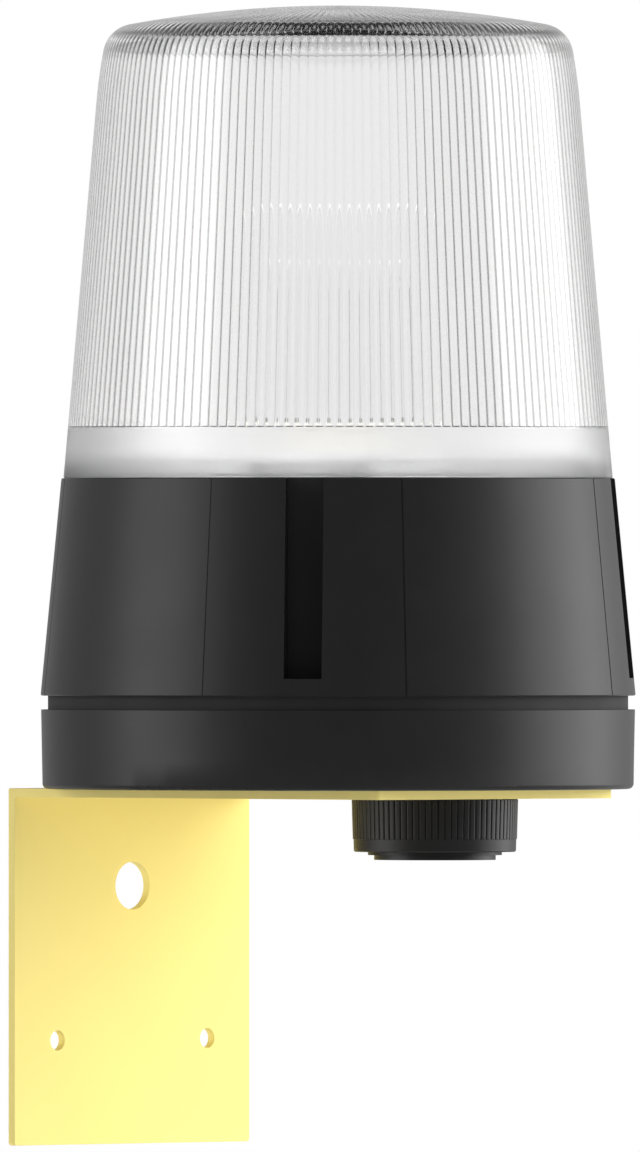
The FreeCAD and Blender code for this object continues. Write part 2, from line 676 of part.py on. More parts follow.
def make_seams():
    """Shallow grooves down the housing, a pair beside each channel."""
    foot = "HousingFoot"
    skin = cone("seam_skin", "HousingFootRadius + SeamDepth", "HousingTopRadius + SeamDepth",
                "HousingHeight", z=foot)
    core = cone("seam_core", "HousingFootRadius - SeamDepth", "HousingTopRadius - SeamDepth",
                "HousingHeight", z=foot)
    plates = []
    for number, angle in enumerate(SLOT_ANGLES, 1):
        spread = "SeamWide" if number % 2 else "SeamNarrow"
        for side in ("-", "+"):
            name = "seam_%d_%s" % (number, "left" if side == "-" else "right")
            seam_angle = "%s %s %s" % (angle, side, spread)
            plates.append(slab(name, "SlotFloorRadius", "SeamWidth", "HousingHeight", foot,
                               seam_angle))
    return common("seams", fuse("seam_plates", *plates), cut("seam_shell", skin, core))


# Screws that hold the housing down on the pan.
def make_housing_screws():
    screws = []
    for number, angle in enumerate(SLOT_ANGLES, 1):
        x, y = polar("HousingScrewRing", angle)
        screws.append(pan_screw("housing_screw_%d" % number, x, y, "HeadSeat", "HousingScrewRadius",
                                "HousingScrewLength", "HousingHeadRadius", "HousingHeadHeight"))
    return on_beacon(group("housing_screws", screws))


def pan_screw(name, x, y, seat, shank, length, head, head_height, upward=False):
    """A pan-head screw with a cross recess; its head is on the seat, or under it when upward."""
    shank_foot = "(%s) - (%s)" % (seat, length)
    head_foot = "(%s)" % seat
    recess_foot = "(%s) + (%s) / 2" % (seat, head_height)
    if upward:
        shank_foot = "(%s)" % seat
        head_foot = "(%s) - (%s)" % (seat, head_height)
        recess_foot = "(%s) - (%s)" % (seat, head_height)
    body = fuse(name + "_body", cylinder(name + "_shank", shank, length, x, y, shank_foot),
                cylinder(name + "_head", head, head_height, x, y, head_foot))
    arm = "(%s) * %s" % (head, CROSS_LENGTH)
    slot = "(%s) * %s" % (head, CROSS_WIDTH)
    depth = "(%s) / 2" % head_height
    along = block(name + "_recess_a", arm, slot, depth, x, y, recess_foot)
    across = block(name + "_recess_b", slot, arm, depth, x, y, recess_foot)
    return cut(name, body, along, across)


# Countersunk screws up through the shelf, and the brass inserts that take them.
def make_base_screws():
    screws = []
    for number, angle in enumerate(BASE_SCREW_ANGLES, 1):
        x, y = polar("BaseScrewRing", angle)
        name = "base_screw_%d" % number
        head = countersink(name + "_head", "0", x, y)
        shank = cylinder(name + "_shank", "BaseScrewRadius", "BaseScrewLength", x, y, "-SheetThick")
        key = doc.addObject("Part::Prism", name + "_key")
        key.Polygon = 6
        tie(key, Circumradius="BaseKeyRadius", Height="BaseKeyDepth")
        place(key, x, y, "-SheetThick")
        screws.append(cut(name, fuse(name + "_body", head, shank), key))
    return on_beacon(group("base_screws", screws))


def make_inserts():
    inserts = []
    for number, angle in enumerate(BASE_SCREW_ANGLES, 1):
        x, y = polar("BaseScrewRing", angle)
        bore = "BaseScrewRadius + ThreadFit"
        inserts.append(tube("insert_%d" % number, "InsertRadius", bore, "InsertLength", x, y,
                            "PanFloor"))
    return on_beacon(group("base_inserts", inserts))


# Grommet where the cable comes in through the shelf and the pan.
def make_grommet():
    lip = "GrommetLip"
    grommet = turned("grommet_body", [
        ("EntryBore", "-GrommetLipThick"),
        (lip, "-GrommetLipThick"),
        (lip, "0"),
        ("GrommetNeck", "0"),
        ("GrommetNeck", "PanFloor"),
        (lip, "PanFloor"),
        (lip, "PanFloor + GrommetLipThick"),
        ("EntryBore", "PanFloor + GrommetLipThick"),
    ])
    grommet.Label = "cable_grommet"
    return place(grommet, "AxisReach - EntryOffset", "0", "FixingDrop")


# Lens: clear moulding with a smooth foot band, ribs inside the wall and a low crown.
def crown_body(name, inset):
    """The lens's outline turned solid, moved inwards by an inset."""
    body = doc.addObject("PartDesign::Body", name)
    sketch = sketch_on(body, name + "_section", "XZ_Plane")
    draft = "LensDraft * 1 deg"
    foot_x = "LensFootRadius - (%s) / cos(%s)" % (inset, draft)
    soft_x = "LensFootRadius - SoftStart * tan(%s) - (%s) * cos(%s)" % (draft, inset, draft)
    soft_z = "DeckTop + SoftStart - (%s) * sin(%s)" % (inset, draft)
    soft_radius = "SoftRadius - (%s)" % inset
    shoulder_radius = "ShoulderRadius - (%s)" % inset
    crown_radius = "CrownRadius - (%s)" % inset
    apex_z = "DeckTop + LensHeight - (%s)" % inset

    slope = math.radians(value("LensDraft"))
    foot = Vector(value(foot_x), value("DeckTop"), 0)
    soft = Vector(value(soft_x), value(soft_z), 0)
    apex = Vector(0, value(apex_z), 0)
    long_arc = value(soft_radius)
    shoulder = value(shoulder_radius)
    crown = value(crown_radius)
    soft_centre = soft - Vector(math.cos(slope), math.sin(slope), 0) * long_arc
    crown_centre = apex - Vector(0, crown, 0)
    between = soft_centre - crown_centre
    reach_crown = crown - shoulder
    reach_soft = long_arc - shoulder
    along = (reach_crown ** 2 - reach_soft ** 2 + between.Length ** 2) / (2 * between.Length)
    aside = math.sqrt(reach_crown ** 2 - along ** 2)
    direction = Vector(between).normalize()
    normal = Vector(direction.y, -direction.x, 0)
    shoulder_centre = crown_centre + direction * along + normal * aside
    if shoulder_centre.x < 0:
        shoulder_centre = crown_centre + direction * along - normal * aside
    low_tangent = shoulder_centre + (shoulder_centre - soft_centre).normalize() * shoulder
    high_tangent = shoulder_centre + (shoulder_centre - crown_centre).normalize() * shoulder

    def arc(centre, radius, start, stop):
        first = math.atan2(start.y - centre.y, start.x - centre.x)
        last = math.atan2(stop.y - centre.y, stop.x - centre.x)
        circle = Part.Circle(centre, Vector(0, 0, 1), radius)
        return sketch.addGeometry(Part.ArcOfCircle(circle, first, last), False)

    bottom = sketch.addGeometry(Part.LineSegment(Vector(0, foot.y, 0), foot), False)
    wall = sketch.addGeometry(Part.LineSegment(foot, soft), False)
    soft_edge = arc(soft_centre, long_arc, soft, low_tangent)
    shoulder_edge = arc(shoulder_centre, shoulder, low_tangent, high_tangent)
    crown_edge = arc(crown_centre, crown, high_tangent, apex)
    axis = sketch.addGeometry(Part.LineSegment(apex, Vector(0, foot.y, 0)), False)
    sketch.addConstraint(Sketcher.Constraint("Coincident", bottom, 2, wall, 1))
    sketch.addConstraint(Sketcher.Constraint("Tangent", wall, 2, soft_edge, 1))
    sketch.addConstraint(Sketcher.Constraint("Tangent", soft_edge, 2, shoulder_edge, 1))
    sketch.addConstraint(Sketcher.Constraint("Tangent", shoulder_edge, 2, crown_edge, 1))
    sketch.addConstraint(Sketcher.Constraint("Coincident", crown_edge, 2, axis, 1))
    sketch.addConstraint(Sketcher.Constraint("Coincident", axis, 2, bottom, 1))
    sketch.addConstraint(Sketcher.Constraint("PointOnObject", crown_edge, 3, -2))
    pin_point(sketch, bottom, 1, "0", "DeckTop")
    pin_point(sketch, wall, 1, foot_x, "DeckTop")
    pin_point(sketch, wall, 2, soft_x, soft_z)
    pin_point(sketch, crown_edge, 2, "0", apex_z)
    radii = ((soft_edge, soft_radius), (shoulder_edge, shoulder_radius), (crown_edge, crown_radius))
    for edge, text in radii:
        held = sketch.addConstraint(Sketcher.Constraint("Radius", edge, value(text)))
        sketch.setExpression("Constraints[%d]" % held, bound(text))
    lathe = body.newObject("PartDesign::Revolution", name + "_turn")
    lathe.Profile = sketch
    lathe.ReferenceAxis = (sketch, ["V_Axis"])
    lathe.Angle = 360
    return body


def make_lens():
    solid = crown_body("lens_outside", "0")
    inside = crown_body("lens_inside", "LensWall")
    slope = "tan(LensDraft * 1 deg)"
    wall = "LensWall / cos(LensDraft * 1 deg)"
    ribs_low = "DeckTop + SmoothBand"
    ribs_high = "DeckTop + RibTop"
    valley_low = value("LensFootRadius - SmoothBand * %s - %s" % (slope, wall))
    valley_high = value("LensFootRadius - RibTop * %s - %s" % (slope, wall))
    ribs = fluted("lens_flutes", valley_low, valley_high, value("RibHeight"),
                  int(value("RibCount")), value(ribs_low), value(ribs_high))
    above = cylinder("above_ribs", "LensFootRadius", "LensHeight", z=ribs_high)
    crown_room = common("crown_room", inside, above)
    band_low = "DeckTop + FootThick"
    band_room = cone("band_room", "LensFootRadius - FootThick * %s - %s" % (slope, wall),
                     "LensFootRadius - SmoothBand * %s - %s" % (slope, wall),
                     "SmoothBand - FootThick", z=band_low)
    mouth = cylinder("lens_mouth", "FootOpening", "2 * FootThick", z="DeckTop - FootThick")
    shell = cut("lens_shell", solid, crown_room, band_room, mouth)
    lugs = []
    for number, angle in enumerate(SLOT_ANGLES, 1):
        lugs.append(sector("lens_lug_%d" % number, "FootOpening + Overrun", "LugInner", "LugHeight",
                           "LugSpan", angle, "DeckTop + FootThick - LugHeight"))
    return on_beacon(cut("lens", fuse("lens_body", shell, *lugs), ribs))


# Flat seal in the deck under the lens's foot.
def make_lens_seal():
    return on_beacon(tube("lens_seal", "SealRadius + SealWidth", "SealRadius", "SealThick",
                          z="DeckTop - SealThick"))


# White tray over the deck: reflector, collar and the hooks that hold the lens.
def make_tray():
    collar = turned("tray_collar", [
        ("TrayOpening", "DeckTop"),
        ("CollarRadius", "DeckTop"),
        ("CollarRadius", "DeckTop + CollarHeight"),
        ("CollarRadius - CollarWall", "DeckTop + CollarHeight"),
        ("CollarRadius - CollarWall", "TrayTop"),
        ("TrayOpening", "TrayTop"),
    ])
    pieces = [collar]
    for number, angle in enumerate(SLOT_ANGLES, 1):
        pieces.append(sector("tray_hook_%d" % number, "CollarRadius + HookReach",
                             "CollarRadius - CollarWall", "HookHeight", "HookSpan", angle,
                             "HookUnder"))
    holes = []
    for number, angle in enumerate(POST_ANGLES, 1):
        x, y = polar("PostRing", angle)
        clear = "SmallScrewRadius + LooseFit"
        holes.append(cylinder("tray_hole_%d" % number, clear, "3 * TrayThick", x, y,
                              "DeckTop - TrayThick"))
    return on_beacon(cut("reflector_tray", fuse("tray_body", *pieces), *holes))


# Screws of the board and the tray, in the two ends of the housing's posts.
def make_small_screws(label, seat, upward):
    screws = []
    for number, angle in enumerate(POST_ANGLES, 1):
        x, y = polar("PostRing", angle)
        screws.append(pan_screw("%s_%d" % (label, number), x, y, seat, "SmallScrewRadius",
                                "SmallScrewLength", "SmallHeadRadius", "SmallHeadHeight", upward))
    return on_beacon(group(label, screws))


# Round board under the posts, with what it carries.
def make_board():
    disc = cylinder("board_disc", "BoardRadius", "BoardThick", z="BoardHeight")
    holes = []
    for number, angle in enumerate(POST_ANGLES, 1):
        x, y = polar("PostRing", angle)
        clear = "SmallScrewRadius + LooseFit"
        holes.append(cylinder("board_hole_%d" % number, clear, "3 * BoardThick", x, y,
                              "BoardHeight - BoardThick"))
    return on_beacon(cut("circuit_board", disc, *holes))


def make_capacitor():
    can = cylinder("capacitor_can", "CapacitorRadius", "CapacitorLength", "CapacitorOffsetX",
                   "CapacitorOffsetY", "BoardHeight - CapacitorLength")
    bead = doc.addObject("Part::Torus", "capacitor_bead")
    tie(bead, Radius1="CapacitorRadius + BeadRadius / 2", Radius2="BeadRadius")
    place(bead, "CapacitorOffsetX", "CapacitorOffsetY", "BoardHeight - BeadDrop")
    return on_beacon(cut("storage_capacitor", can, bead))


def make_transformer():
    foot = "BoardHeight - CoreHeight"
    frame = block("core_frame", "CoreLength", "CoreDepth", "CoreHeight", "CoreOffsetX", "CoreOffsetY", foot)
    window_height = "CoreHeight - 2 * CoreLimb"
    window_length = "(CoreLength / 2 - 2 * CoreLimb)"
    windows = []
    for name, side in (("core_window_left", "-"), ("core_window_right", "+")):
        x = "CoreOffsetX %s (CoreLimb + %s / 2)" % (side, window_length)
        windows.append(block(name, window_length, "2 * CoreDepth", window_height, x, "CoreOffsetY",
                             foot + " + CoreLimb"))
    core = cut("transformer_core", frame, *windows)

    gap = "2 * LooseFit"
    coil = block("winding_block", "CoreLength - 2 * CoreLimb - " + gap, "WindingDepth",
                 window_height + " - " + gap, "CoreOffsetX", "CoreOffsetY", foot + " + CoreLimb + LooseFit")
    room = block("winding_room", "2 * CoreLimb + " + gap, "CoreDepth + " + gap, "2 * CoreHeight",
                 "CoreOffsetX", "CoreOffsetY", foot + " - CoreHeight / 2")
    winding = cut("transformer_winding", coil, room)
    return on_beacon(core), on_beacon(winding)


def make_terminals():
    foot = "BoardHeight - TerminalHeight"
    length = "TerminalCount * TerminalPitch"
    case = block("terminal_case", length, "TerminalDepth", "TerminalHeight", "TerminalOffsetX",
                 "TerminalOffsetY", foot)
    holes = []
    screws = []
    for number in range(int(value("TerminalCount"))):
        x = "TerminalOffsetX + (%d - (TerminalCount - 1) / 2) * TerminalPitch" % number
        well = "TerminalScrewRadius + LooseFit"
        name = "terminal_%d" % (number + 1)
        holes.append(cylinder(name + "_well", well, "2 * TerminalWellDepth", x, "TerminalOffsetY",
                              foot + " - TerminalWellDepth"))
        entry = block(name + "_entry", "TerminalEntryWidth", "TerminalDepth", "TerminalEntryHeight",
                      x, "TerminalOffsetY - TerminalDepth + TerminalEntryDepth",
                      foot + " + TerminalEntryRise")
        holes.append(entry)
        shank = cylinder(name + "_screw", "TerminalScrewRadius", "TerminalWellDepth - LooseFit", x,
                         "TerminalOffsetY", foot + " + LooseFit")
        slot = block(name + "_slot", "TerminalSlotWidth", "3 * TerminalScrewRadius",
                     "TerminalSlotWidth", x, "TerminalOffsetY", foot + " + LooseFit")
        screws.append(cut(name + "_head", shank, slot))
    return (on_beacon(cut("terminal_block", case, *holes)),
            on_beacon(group("terminal_screws", screws)))


def make_trigger_coil():
    coil = turned("coil_body", [
        ("0", "BoardTop"),
        ("CoilRadius", "BoardTop"),
        ("CoilRadius", "BoardTop + CoilFlange"),
        ("CoilRadius - CoilLip", "BoardTop + CoilFlange"),
        ("CoilRadius - CoilLip", "BoardTop + CoilHeight - CoilFlange"),
        ("CoilRadius", "BoardTop + CoilHeight - CoilFlange"),
        ("CoilRadius", "BoardTop + CoilHeight"),
        ("0", "BoardTop + CoilHeight"),
    ])
    coil.Label = "trigger_coil"
    return place(coil, "AxisReach + CoilOffsetX", "CoilOffsetY", "FixingDrop")


# Lamp: socket on the tray, flash tube with its caps and trigger wire, and a glass cover.
def make_lamp():
    nose = "BulbRadius - BulbWall - LooseFit"
    flange = cylinder("socket_flange", "SocketRadius", "SocketFlange", z="TrayTop")
    stem = cylinder("socket_stem", "TrayOpening - LooseFit", "TrayThick", z="DeckTop")
    raised = cylinder("socket_nose", nose, "SocketNose", z="SocketShoulder")
    holes = []
    leads = []
    for number in range(int(value("LeadCount"))):
        x, y = polar("LeadReach", "90 + 360 / LeadCount * %d" % number)
        name = "lamp_lead_%d" % (number + 1)
        run = "SocketShoulder - SocketFlange / 2 - BoardTop"
        leads.append(cylinder(name, "LeadRadius", run, x, y, "BoardTop"))
        bore = "LeadRadius + ThreadFit"
        holes.append(cylinder(name + "_bore", bore,
                              "SocketShoulder - SocketFlange / 2 - DeckTop + Overrun", x, y,
                              "DeckTop - Overrun"))
    caps = []
    legs = []
    for name, side in (("near", "-"), ("far", "")):
        x = side + "TubeSpacing / 2"
        cap = cylinder("tube_cap_" + name, "CapRadius", "CapHeight", x, z="CapFoot")
        caps.append(cap)
        pocket = "CapRadius + ThreadFit"
        holes.append(cylinder("cap_pocket_" + name, pocket, "2 * CapHeight", x, z="CapFoot"))
        legs.append(cylinder("tube_leg_" + name, "TubeRadius", "TubeLeg", x, z="CapTop"))
    bend = doc.addObject("Part::Torus", "tube_bend")
    tie(bend, Radius1="TubeSpacing / 2", Radius2="TubeRadius", Angle3="180 * 1 deg")
    bend.Placement = Placement(Vector(), Rotation(Vector(1, 0, 0), 90))
    place(bend, "0", "0", "CapTop + TubeLeg")
    wire_y = "TubeRadius + TriggerRadius + RunningGap"
    holes.append(cylinder("wire_bore", "TriggerRadius + ThreadFit", "SocketNose", "0", wire_y,
                          "SocketShoulder + SocketNose / 2"))
    wire = cylinder("wire_stem", "TriggerRadius", "TubeLeg + TubeSpacing / 2", "0", wire_y,
                    "SocketShoulder + SocketNose / 2")
    socket = cut("lamp_socket", fuse("socket_body", flange, stem, raised), *holes)
    return (on_beacon(socket), on_beacon(group("lamp_leads", leads)),
            on_beacon(group("tube_caps", caps)), on_beacon(fuse("flash_tube", bend, *legs)),
            on_beacon(group("trigger_wire", [wire])))


def make_glass_cover():
    outer = cylinder("cover_outer", "BulbRadius", "BulbHeight - BulbRadius", z="SocketShoulder")
    dome = doc.addObject("Part::Sphere", "cover_dome")
    tie(dome, Radius="BulbRadius")
    place(dome, "0", "0", "SocketShoulder + BulbHeight - BulbRadius")
    room = cylinder("cover_room", "BulbRadius - BulbWall", "BulbHeight - BulbRadius + Overrun",
                    z="SocketShoulder - Overrun")
    hollow = doc.addObject("Part::Sphere", "cover_hollow")
    tie(hollow, Radius="BulbRadius - BulbWall")
    place(hollow, "0", "0", "SocketShoulder + BulbHeight - BulbRadius")
    return on_beacon(cut("glass_cover", fuse("cover_solid", outer, dome), room, hollow))


# Buzzer: case above the pan's floor, neck through the shelf, knurled ring and grille below.
def make_buzzer_case():
    case = turned("buzzer_body", [
        ("NeckBore", "RingFoot"),
        ("NeckRadius", "RingFoot"),
        ("NeckRadius", "BuzzerSeat"),
        ("BuzzerRadius", "BuzzerSeat"),
        ("BuzzerRadius", "BuzzerTop"),
        ("ChamberRadius", "BuzzerTop"),
        ("ChamberRadius", "BuzzerSeat + ChamberFloor"),
        ("NeckBore", "BuzzerSeat + ChamberFloor"),
    ])
    case.Label = "buzzer_case"
    return on_buzzer(case)


def make_buzzer_inside():
    disc = cylinder("disc_plate", "ChamberRadius - LooseFit", "DiscThick",
                    z="BuzzerSeat + ChamberFloor")
    ceramic = cylinder("disc_ceramic", "ChamberRadius - CeramicInset", "DiscThick",
                       z="BuzzerSeat + ChamberFloor + DiscThick")
    sounder = on_buzzer(fuse("sounder_disc", disc, ceramic))
    lid_foot = "BuzzerTop - LidThick"
    lid = cylinder("lid_plate", "ChamberRadius - ThreadFit", "LidThick", z=lid_foot)
    pins = []
    holes = []
    leads = []
    for name, side in (("near", "-"), ("far", "")):
        y = side + "PinSpacing / 2"
        pins.append(cylinder("buzzer_pin_" + name, "PinRadius", "PinLength + LidThick", "0", y,
                             lid_foot))
        holes.append(cylinder("pin_hole_" + name, "PinRadius + ThreadFit", "3 * LidThick", "0", y,
                              lid_foot + " - LidThick"))
        leads.append(cylinder("buzzer_lead_" + name, "PinRadius", "BoardHeight - PinTop", "0", y,
                              "PinTop"))
    return (sounder, on_buzzer(cut("buzzer_lid", lid, *holes)), on_buzzer(group("buzzer_pins", pins)),
            on_buzzer(group("buzzer_leads", leads)))


def make_buzzer_seal():
    return on_buzzer(tube("buzzer_seal", "BuzzerRadius", "NeckRadius + LooseFit", "SealRingThick",
                          z="PanFloor"))


def make_knurled_ring():
    skirt_height = "RingHeight - KnurlHeight"
    taper = "RingTaper / RingHeight"
    top = value("RingRadius")
    foot = value("RingRadius - KnurlHeight * %s" % taper)
    knurls = fluted("ring_knurls", foot, top, value("KnurlDepth"), int(value("KnurlCount")),
                    value("-SheetThick - KnurlHeight"), value("-SheetThick"))
    skirt = cone("ring_skirt", "RingRadius - RingTaper - KnurlDepth / 2",
                 "RingRadius - KnurlHeight * %s - KnurlDepth / 2" % taper, skirt_height,
                 z="RingFoot")
    bore = cylinder("ring_bore", "NeckRadius + ThreadFit", "2 * RingHeight",
                    z="RingFoot - RingHeight / 2")
    return on_buzzer(cut("knurled_ring", fuse("ring_body", knurls, skirt), bore))


def make_grille():
    face_foot = "RingFoot - GrilleStep - GrilleFace"
    grille = turned("grille_body", [
        ("0", face_foot),
        ("GrilleRadius", face_foot),
        ("GrilleRadius", "RingFoot - GrilleStep"),
        ("GrilleStepRadius", "RingFoot - GrilleStep"),
        ("GrilleStepRadius", "RingFoot"),
        ("NeckBore - ThreadFit", "RingFoot"),
        ("NeckBore - ThreadFit", "RingFoot + GrilleSpigot"),
        ("0", "RingFoot + GrilleSpigot"),
    ])
    depth = "3 * (GrilleStep + GrilleFace + GrilleSpigot)"
    start = face_foot + " - GrilleFace"
    holes = [cylinder("sound_hole_middle", "SoundHoleRadius", depth, z=start)]
    for number in range(int(value("SoundHoleCount"))):
        x, y = polar("SoundHoleReach", "360 / SoundHoleCount * %d" % number)
        holes.append(cylinder("sound_hole_%d" % (number + 1), "SoundHoleRadius", depth, x, y, start))
    return on_buzzer(cut("buzzer_grille", grille, *holes))


core, winding = make_transformer()
terminal_block, terminal_screws = make_terminals()
PARTS = [
    make_bracket(),
    make_pan(),
    make_gasket(),
    make_housing(),
    make_housing_screws(),
    make_base_screws(),
    make_inserts(),
    make_grommet(),
    make_board(),
    make_small_screws("board_screws", "BoardHeight", True),
    make_capacitor(),
    core,
    winding,
    terminal_block,
    terminal_screws,
    make_trigger_coil(),
    make_tray(),
    make_small_screws("tray_screws", "TrayTop", False),
    make_glass_cover(),
    make_lens_seal(),
    make_lens(),
    make_buzzer_case(),
    make_buzzer_seal(),
    make_knurled_ring(),
    make_grille(),
]
PARTS += make_lamp()
PARTS += make_buzzer_inside()
doc.recompute()

for item in doc.Objects:
    if "Invalid" in item.State or "Error" in item.State:
        raise RuntimeError("%s did not compute" % item.Name)
os.makedirs("parts", exist_ok=True)
for item in PARTS:
    if item.Shape.isNull() or not item.Shape.isValid():
        raise RuntimeError("%s has no sound shape" % item.Label)
for item in PARTS:
    item.Shape.exportStep("parts/%s.step" % item.Label)
    print("%-22s %10.1f mm3" % (item.Label, item.Shape.Volume))
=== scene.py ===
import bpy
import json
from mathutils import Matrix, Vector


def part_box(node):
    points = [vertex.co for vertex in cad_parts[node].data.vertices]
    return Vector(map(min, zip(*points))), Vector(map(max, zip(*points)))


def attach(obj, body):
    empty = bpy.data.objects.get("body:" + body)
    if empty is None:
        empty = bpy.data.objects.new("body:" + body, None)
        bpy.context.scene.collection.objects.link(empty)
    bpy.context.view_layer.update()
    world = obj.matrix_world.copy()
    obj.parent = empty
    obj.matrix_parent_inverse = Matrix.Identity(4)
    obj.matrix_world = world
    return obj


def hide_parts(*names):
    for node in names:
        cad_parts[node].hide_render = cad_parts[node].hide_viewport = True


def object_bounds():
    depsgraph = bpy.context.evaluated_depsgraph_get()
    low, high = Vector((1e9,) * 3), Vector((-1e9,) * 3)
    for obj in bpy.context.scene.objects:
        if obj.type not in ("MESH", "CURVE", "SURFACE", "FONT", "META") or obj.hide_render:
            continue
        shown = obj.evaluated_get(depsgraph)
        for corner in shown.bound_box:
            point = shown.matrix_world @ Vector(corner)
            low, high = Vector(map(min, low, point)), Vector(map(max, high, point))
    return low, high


bl_info = {
    "name": "Strobe Beacon With Buzzer",
    "version": (1, 0, 0),
    "blender": (4, 5, 0),
    "location": "3D View > Sidebar > Beacon",
    "description": "Dresses a wall-mounted strobe beacon and sets it in a pale studio",
    "category": "Object",
}

import json
import math

import bmesh
import bpy
from mathutils import Matrix, Vector

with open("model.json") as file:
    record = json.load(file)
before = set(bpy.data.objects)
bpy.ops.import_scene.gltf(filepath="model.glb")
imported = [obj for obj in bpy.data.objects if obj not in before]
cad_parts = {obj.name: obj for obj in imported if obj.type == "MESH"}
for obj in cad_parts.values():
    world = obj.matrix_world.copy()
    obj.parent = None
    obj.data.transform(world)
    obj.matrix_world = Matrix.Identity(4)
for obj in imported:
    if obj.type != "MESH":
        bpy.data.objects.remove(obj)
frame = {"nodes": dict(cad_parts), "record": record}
CAD_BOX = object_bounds()

# Lengths are in metres; angles are in radians unless a name says degrees.
MM = 0.001
LENS_LOW, LENS_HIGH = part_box("lens")
HOUSING_LOW, HOUSING_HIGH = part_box("housing")
BRACKET_LOW, BRACKET_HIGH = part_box("wall_bracket")
RING_LOW, RING_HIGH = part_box("knurled_ring")
AXIS = Vector(((LENS_LOW.x + LENS_HIGH.x) / 2, 0, 0))
BUZZER_AXIS = Vector(((RING_LOW.x + RING_HIGH.x) / 2, 0, 0))
LENS_FOOT = (LENS_HIGH.x - LENS_LOW.x) / 2
HOUSING_FOOT = (HOUSING_HIGH.x - HOUSING_LOW.x) / 2
HOUSING_HEIGHT = HOUSING_HIGH.z - HOUSING_LOW.z
RING_RADIUS = (RING_HIGH.x - RING_LOW.x) / 2

QUARTER = math.pi / 2
# Small rounding of moulded edges.
EDGE = 0.25 * MM
BASE_SCREW_DEGREES = (60, 180, 300)
POST_DEGREES = (90, 210, 330)


def length(name, description, default):
    return bpy.props.FloatProperty(
        name=name, description=description, default=default * MM, unit="LENGTH", min=0)


def colour(name, description, default):
    return bpy.props.FloatVectorProperty(
        name=name, description=description, default=default, subtype="COLOR", size=3, min=0, max=1)


class BeaconSizes(bpy.types.PropertyGroup):
    rib_count: bpy.props.IntProperty(
        name="Ribs", description="Ribs round the inside of the lens", default=165, min=3)
    rib_height: length("Rib height", "How far a rib stands out of the lens wall", 0.36)
    rib_low: length("Rib foot", "Height of the smooth band under the ribs", 11.1)
    rib_drop: length("Rib drop", "Upper ends of the ribs below the lens's top", 8.0)
    lens_wall: length("Lens wall", "Thickness of the lens", 2.6)
    knurl_count: bpy.props.IntProperty(
        name="Knurls", description="Knurls round the buzzer's ring", default=80, min=3)
    knurl_depth: length("Knurl depth", "Depth of a knurl", 0.3)
    slot_turn: bpy.props.FloatProperty(
        name="Slot turn", description="Angle of the housing's second slot from the wall's normal",
        default=math.radians(38.1), unit="ROTATION")
    sheet: length("Sheet", "Thickness of the bracket's sheet", 2.0)


class BeaconColours(bpy.types.PropertyGroup):
    paint: colour("Paint", "Coat of the bracket", (0.95, 0.8, 0.27))
    black: colour("Black", "Black mouldings", (0.014, 0.014, 0.0145))
    clear: colour("Lens", "Tint of the clear lens", (0.985, 0.985, 0.985))
    floor: colour("Floor", "Studio floor", (0.86, 0.86, 0.86))


def sizes():
    return bpy.context.scene.beacon_sizes


def colours():
    return bpy.context.scene.beacon_colours


# Materials

PLASTIC_INDEX = 1.5
COVER_INDEX = 1.015
TUBE_INDEX = 1.03
# The lens is clear at its ribs, satin in the smooth band under them and frosted at its foot.
RIB_ROUGHNESS = 0.05
BAND_ROUGHNESS = 0.35
FOOT_ROUGHNESS = 0.6
BAND_EASE = 0.5 * MM
FOOT_HEIGHT = 6.5 * MM
FOOT_EASE = 3.5 * MM
# A band of the shoulder gets painted shade, a darker base colour: start and end below the lens's top,
# how fast each fades, and the painted shade's tint.
SHOULDER_START = 6.6 * MM
SHOULDER_END = 3.4 * MM
START_EASE = 0.3 * MM
END_EASE = 1.0 * MM
SHOULDER_PAINTED_SHADE = 0.45
# Light lost in the plastic, per metre.
LENS_ABSORPTION = 4.0


def fresh_material(name):
    material = bpy.data.materials.new(name)
    material.use_nodes = True
    nodes = material.node_tree.nodes
    return material, nodes, material.node_tree.links, nodes["Principled BSDF"]


def object_noise(nodes, links, scale, detail=3.0):
    """Noise that sits on the object, measured in metres."""
    coordinates = nodes.new("ShaderNodeTexCoord")
    noise = nodes.new("ShaderNodeTexNoise")
    noise.inputs["Scale"].default_value = scale
    noise.inputs["Detail"].default_value = detail
    links.new(coordinates.outputs["Object"], noise.inputs["Vector"])
    return noise


def vary_colour(nodes, links, shader, base, spread, scale):
    """Colour that wanders a little either side of its mean."""
    noise = object_noise(nodes, links, scale)
    ramp = nodes.new("ShaderNodeValToRGB")
    ramp.color_ramp.elements[0].position = 0.3
    ramp.color_ramp.elements[1].position = 0.7
    ramp.color_ramp.elements[0].color = (*(channel * (1 - spread) for channel in base), 1)
    ramp.color_ramp.elements[1].color = (*(min(channel * (1 + spread), 1) for channel in base), 1)
    links.new(noise.outputs["Fac"], ramp.inputs["Fac"])
    links.new(ramp.outputs["Color"], shader.inputs["Base Color"])


def vary_roughness(nodes, links, shader, low, high, scale):
    noise = object_noise(nodes, links, scale)
    spread = nodes.new("ShaderNodeMapRange")
    spread.inputs["To Min"].default_value = low
    spread.inputs["To Max"].default_value = high
    links.new(noise.outputs["Fac"], spread.inputs["Value"])
    links.new(spread.outputs["Result"], shader.inputs["Roughness"])


def grain(nodes, links, shader, scale, strength, height):
    """Fine surface grain."""
    noise = object_noise(nodes, links, scale, detail=2.0)
    bump = nodes.new("ShaderNodeBump")
    bump.inputs["Strength"].default_value = strength
    bump.inputs["Distance"].default_value = height
    links.new(noise.outputs["Fac"], bump.inputs["Height"])
    links.new(bump.outputs["Normal"], shader.inputs["Normal"])


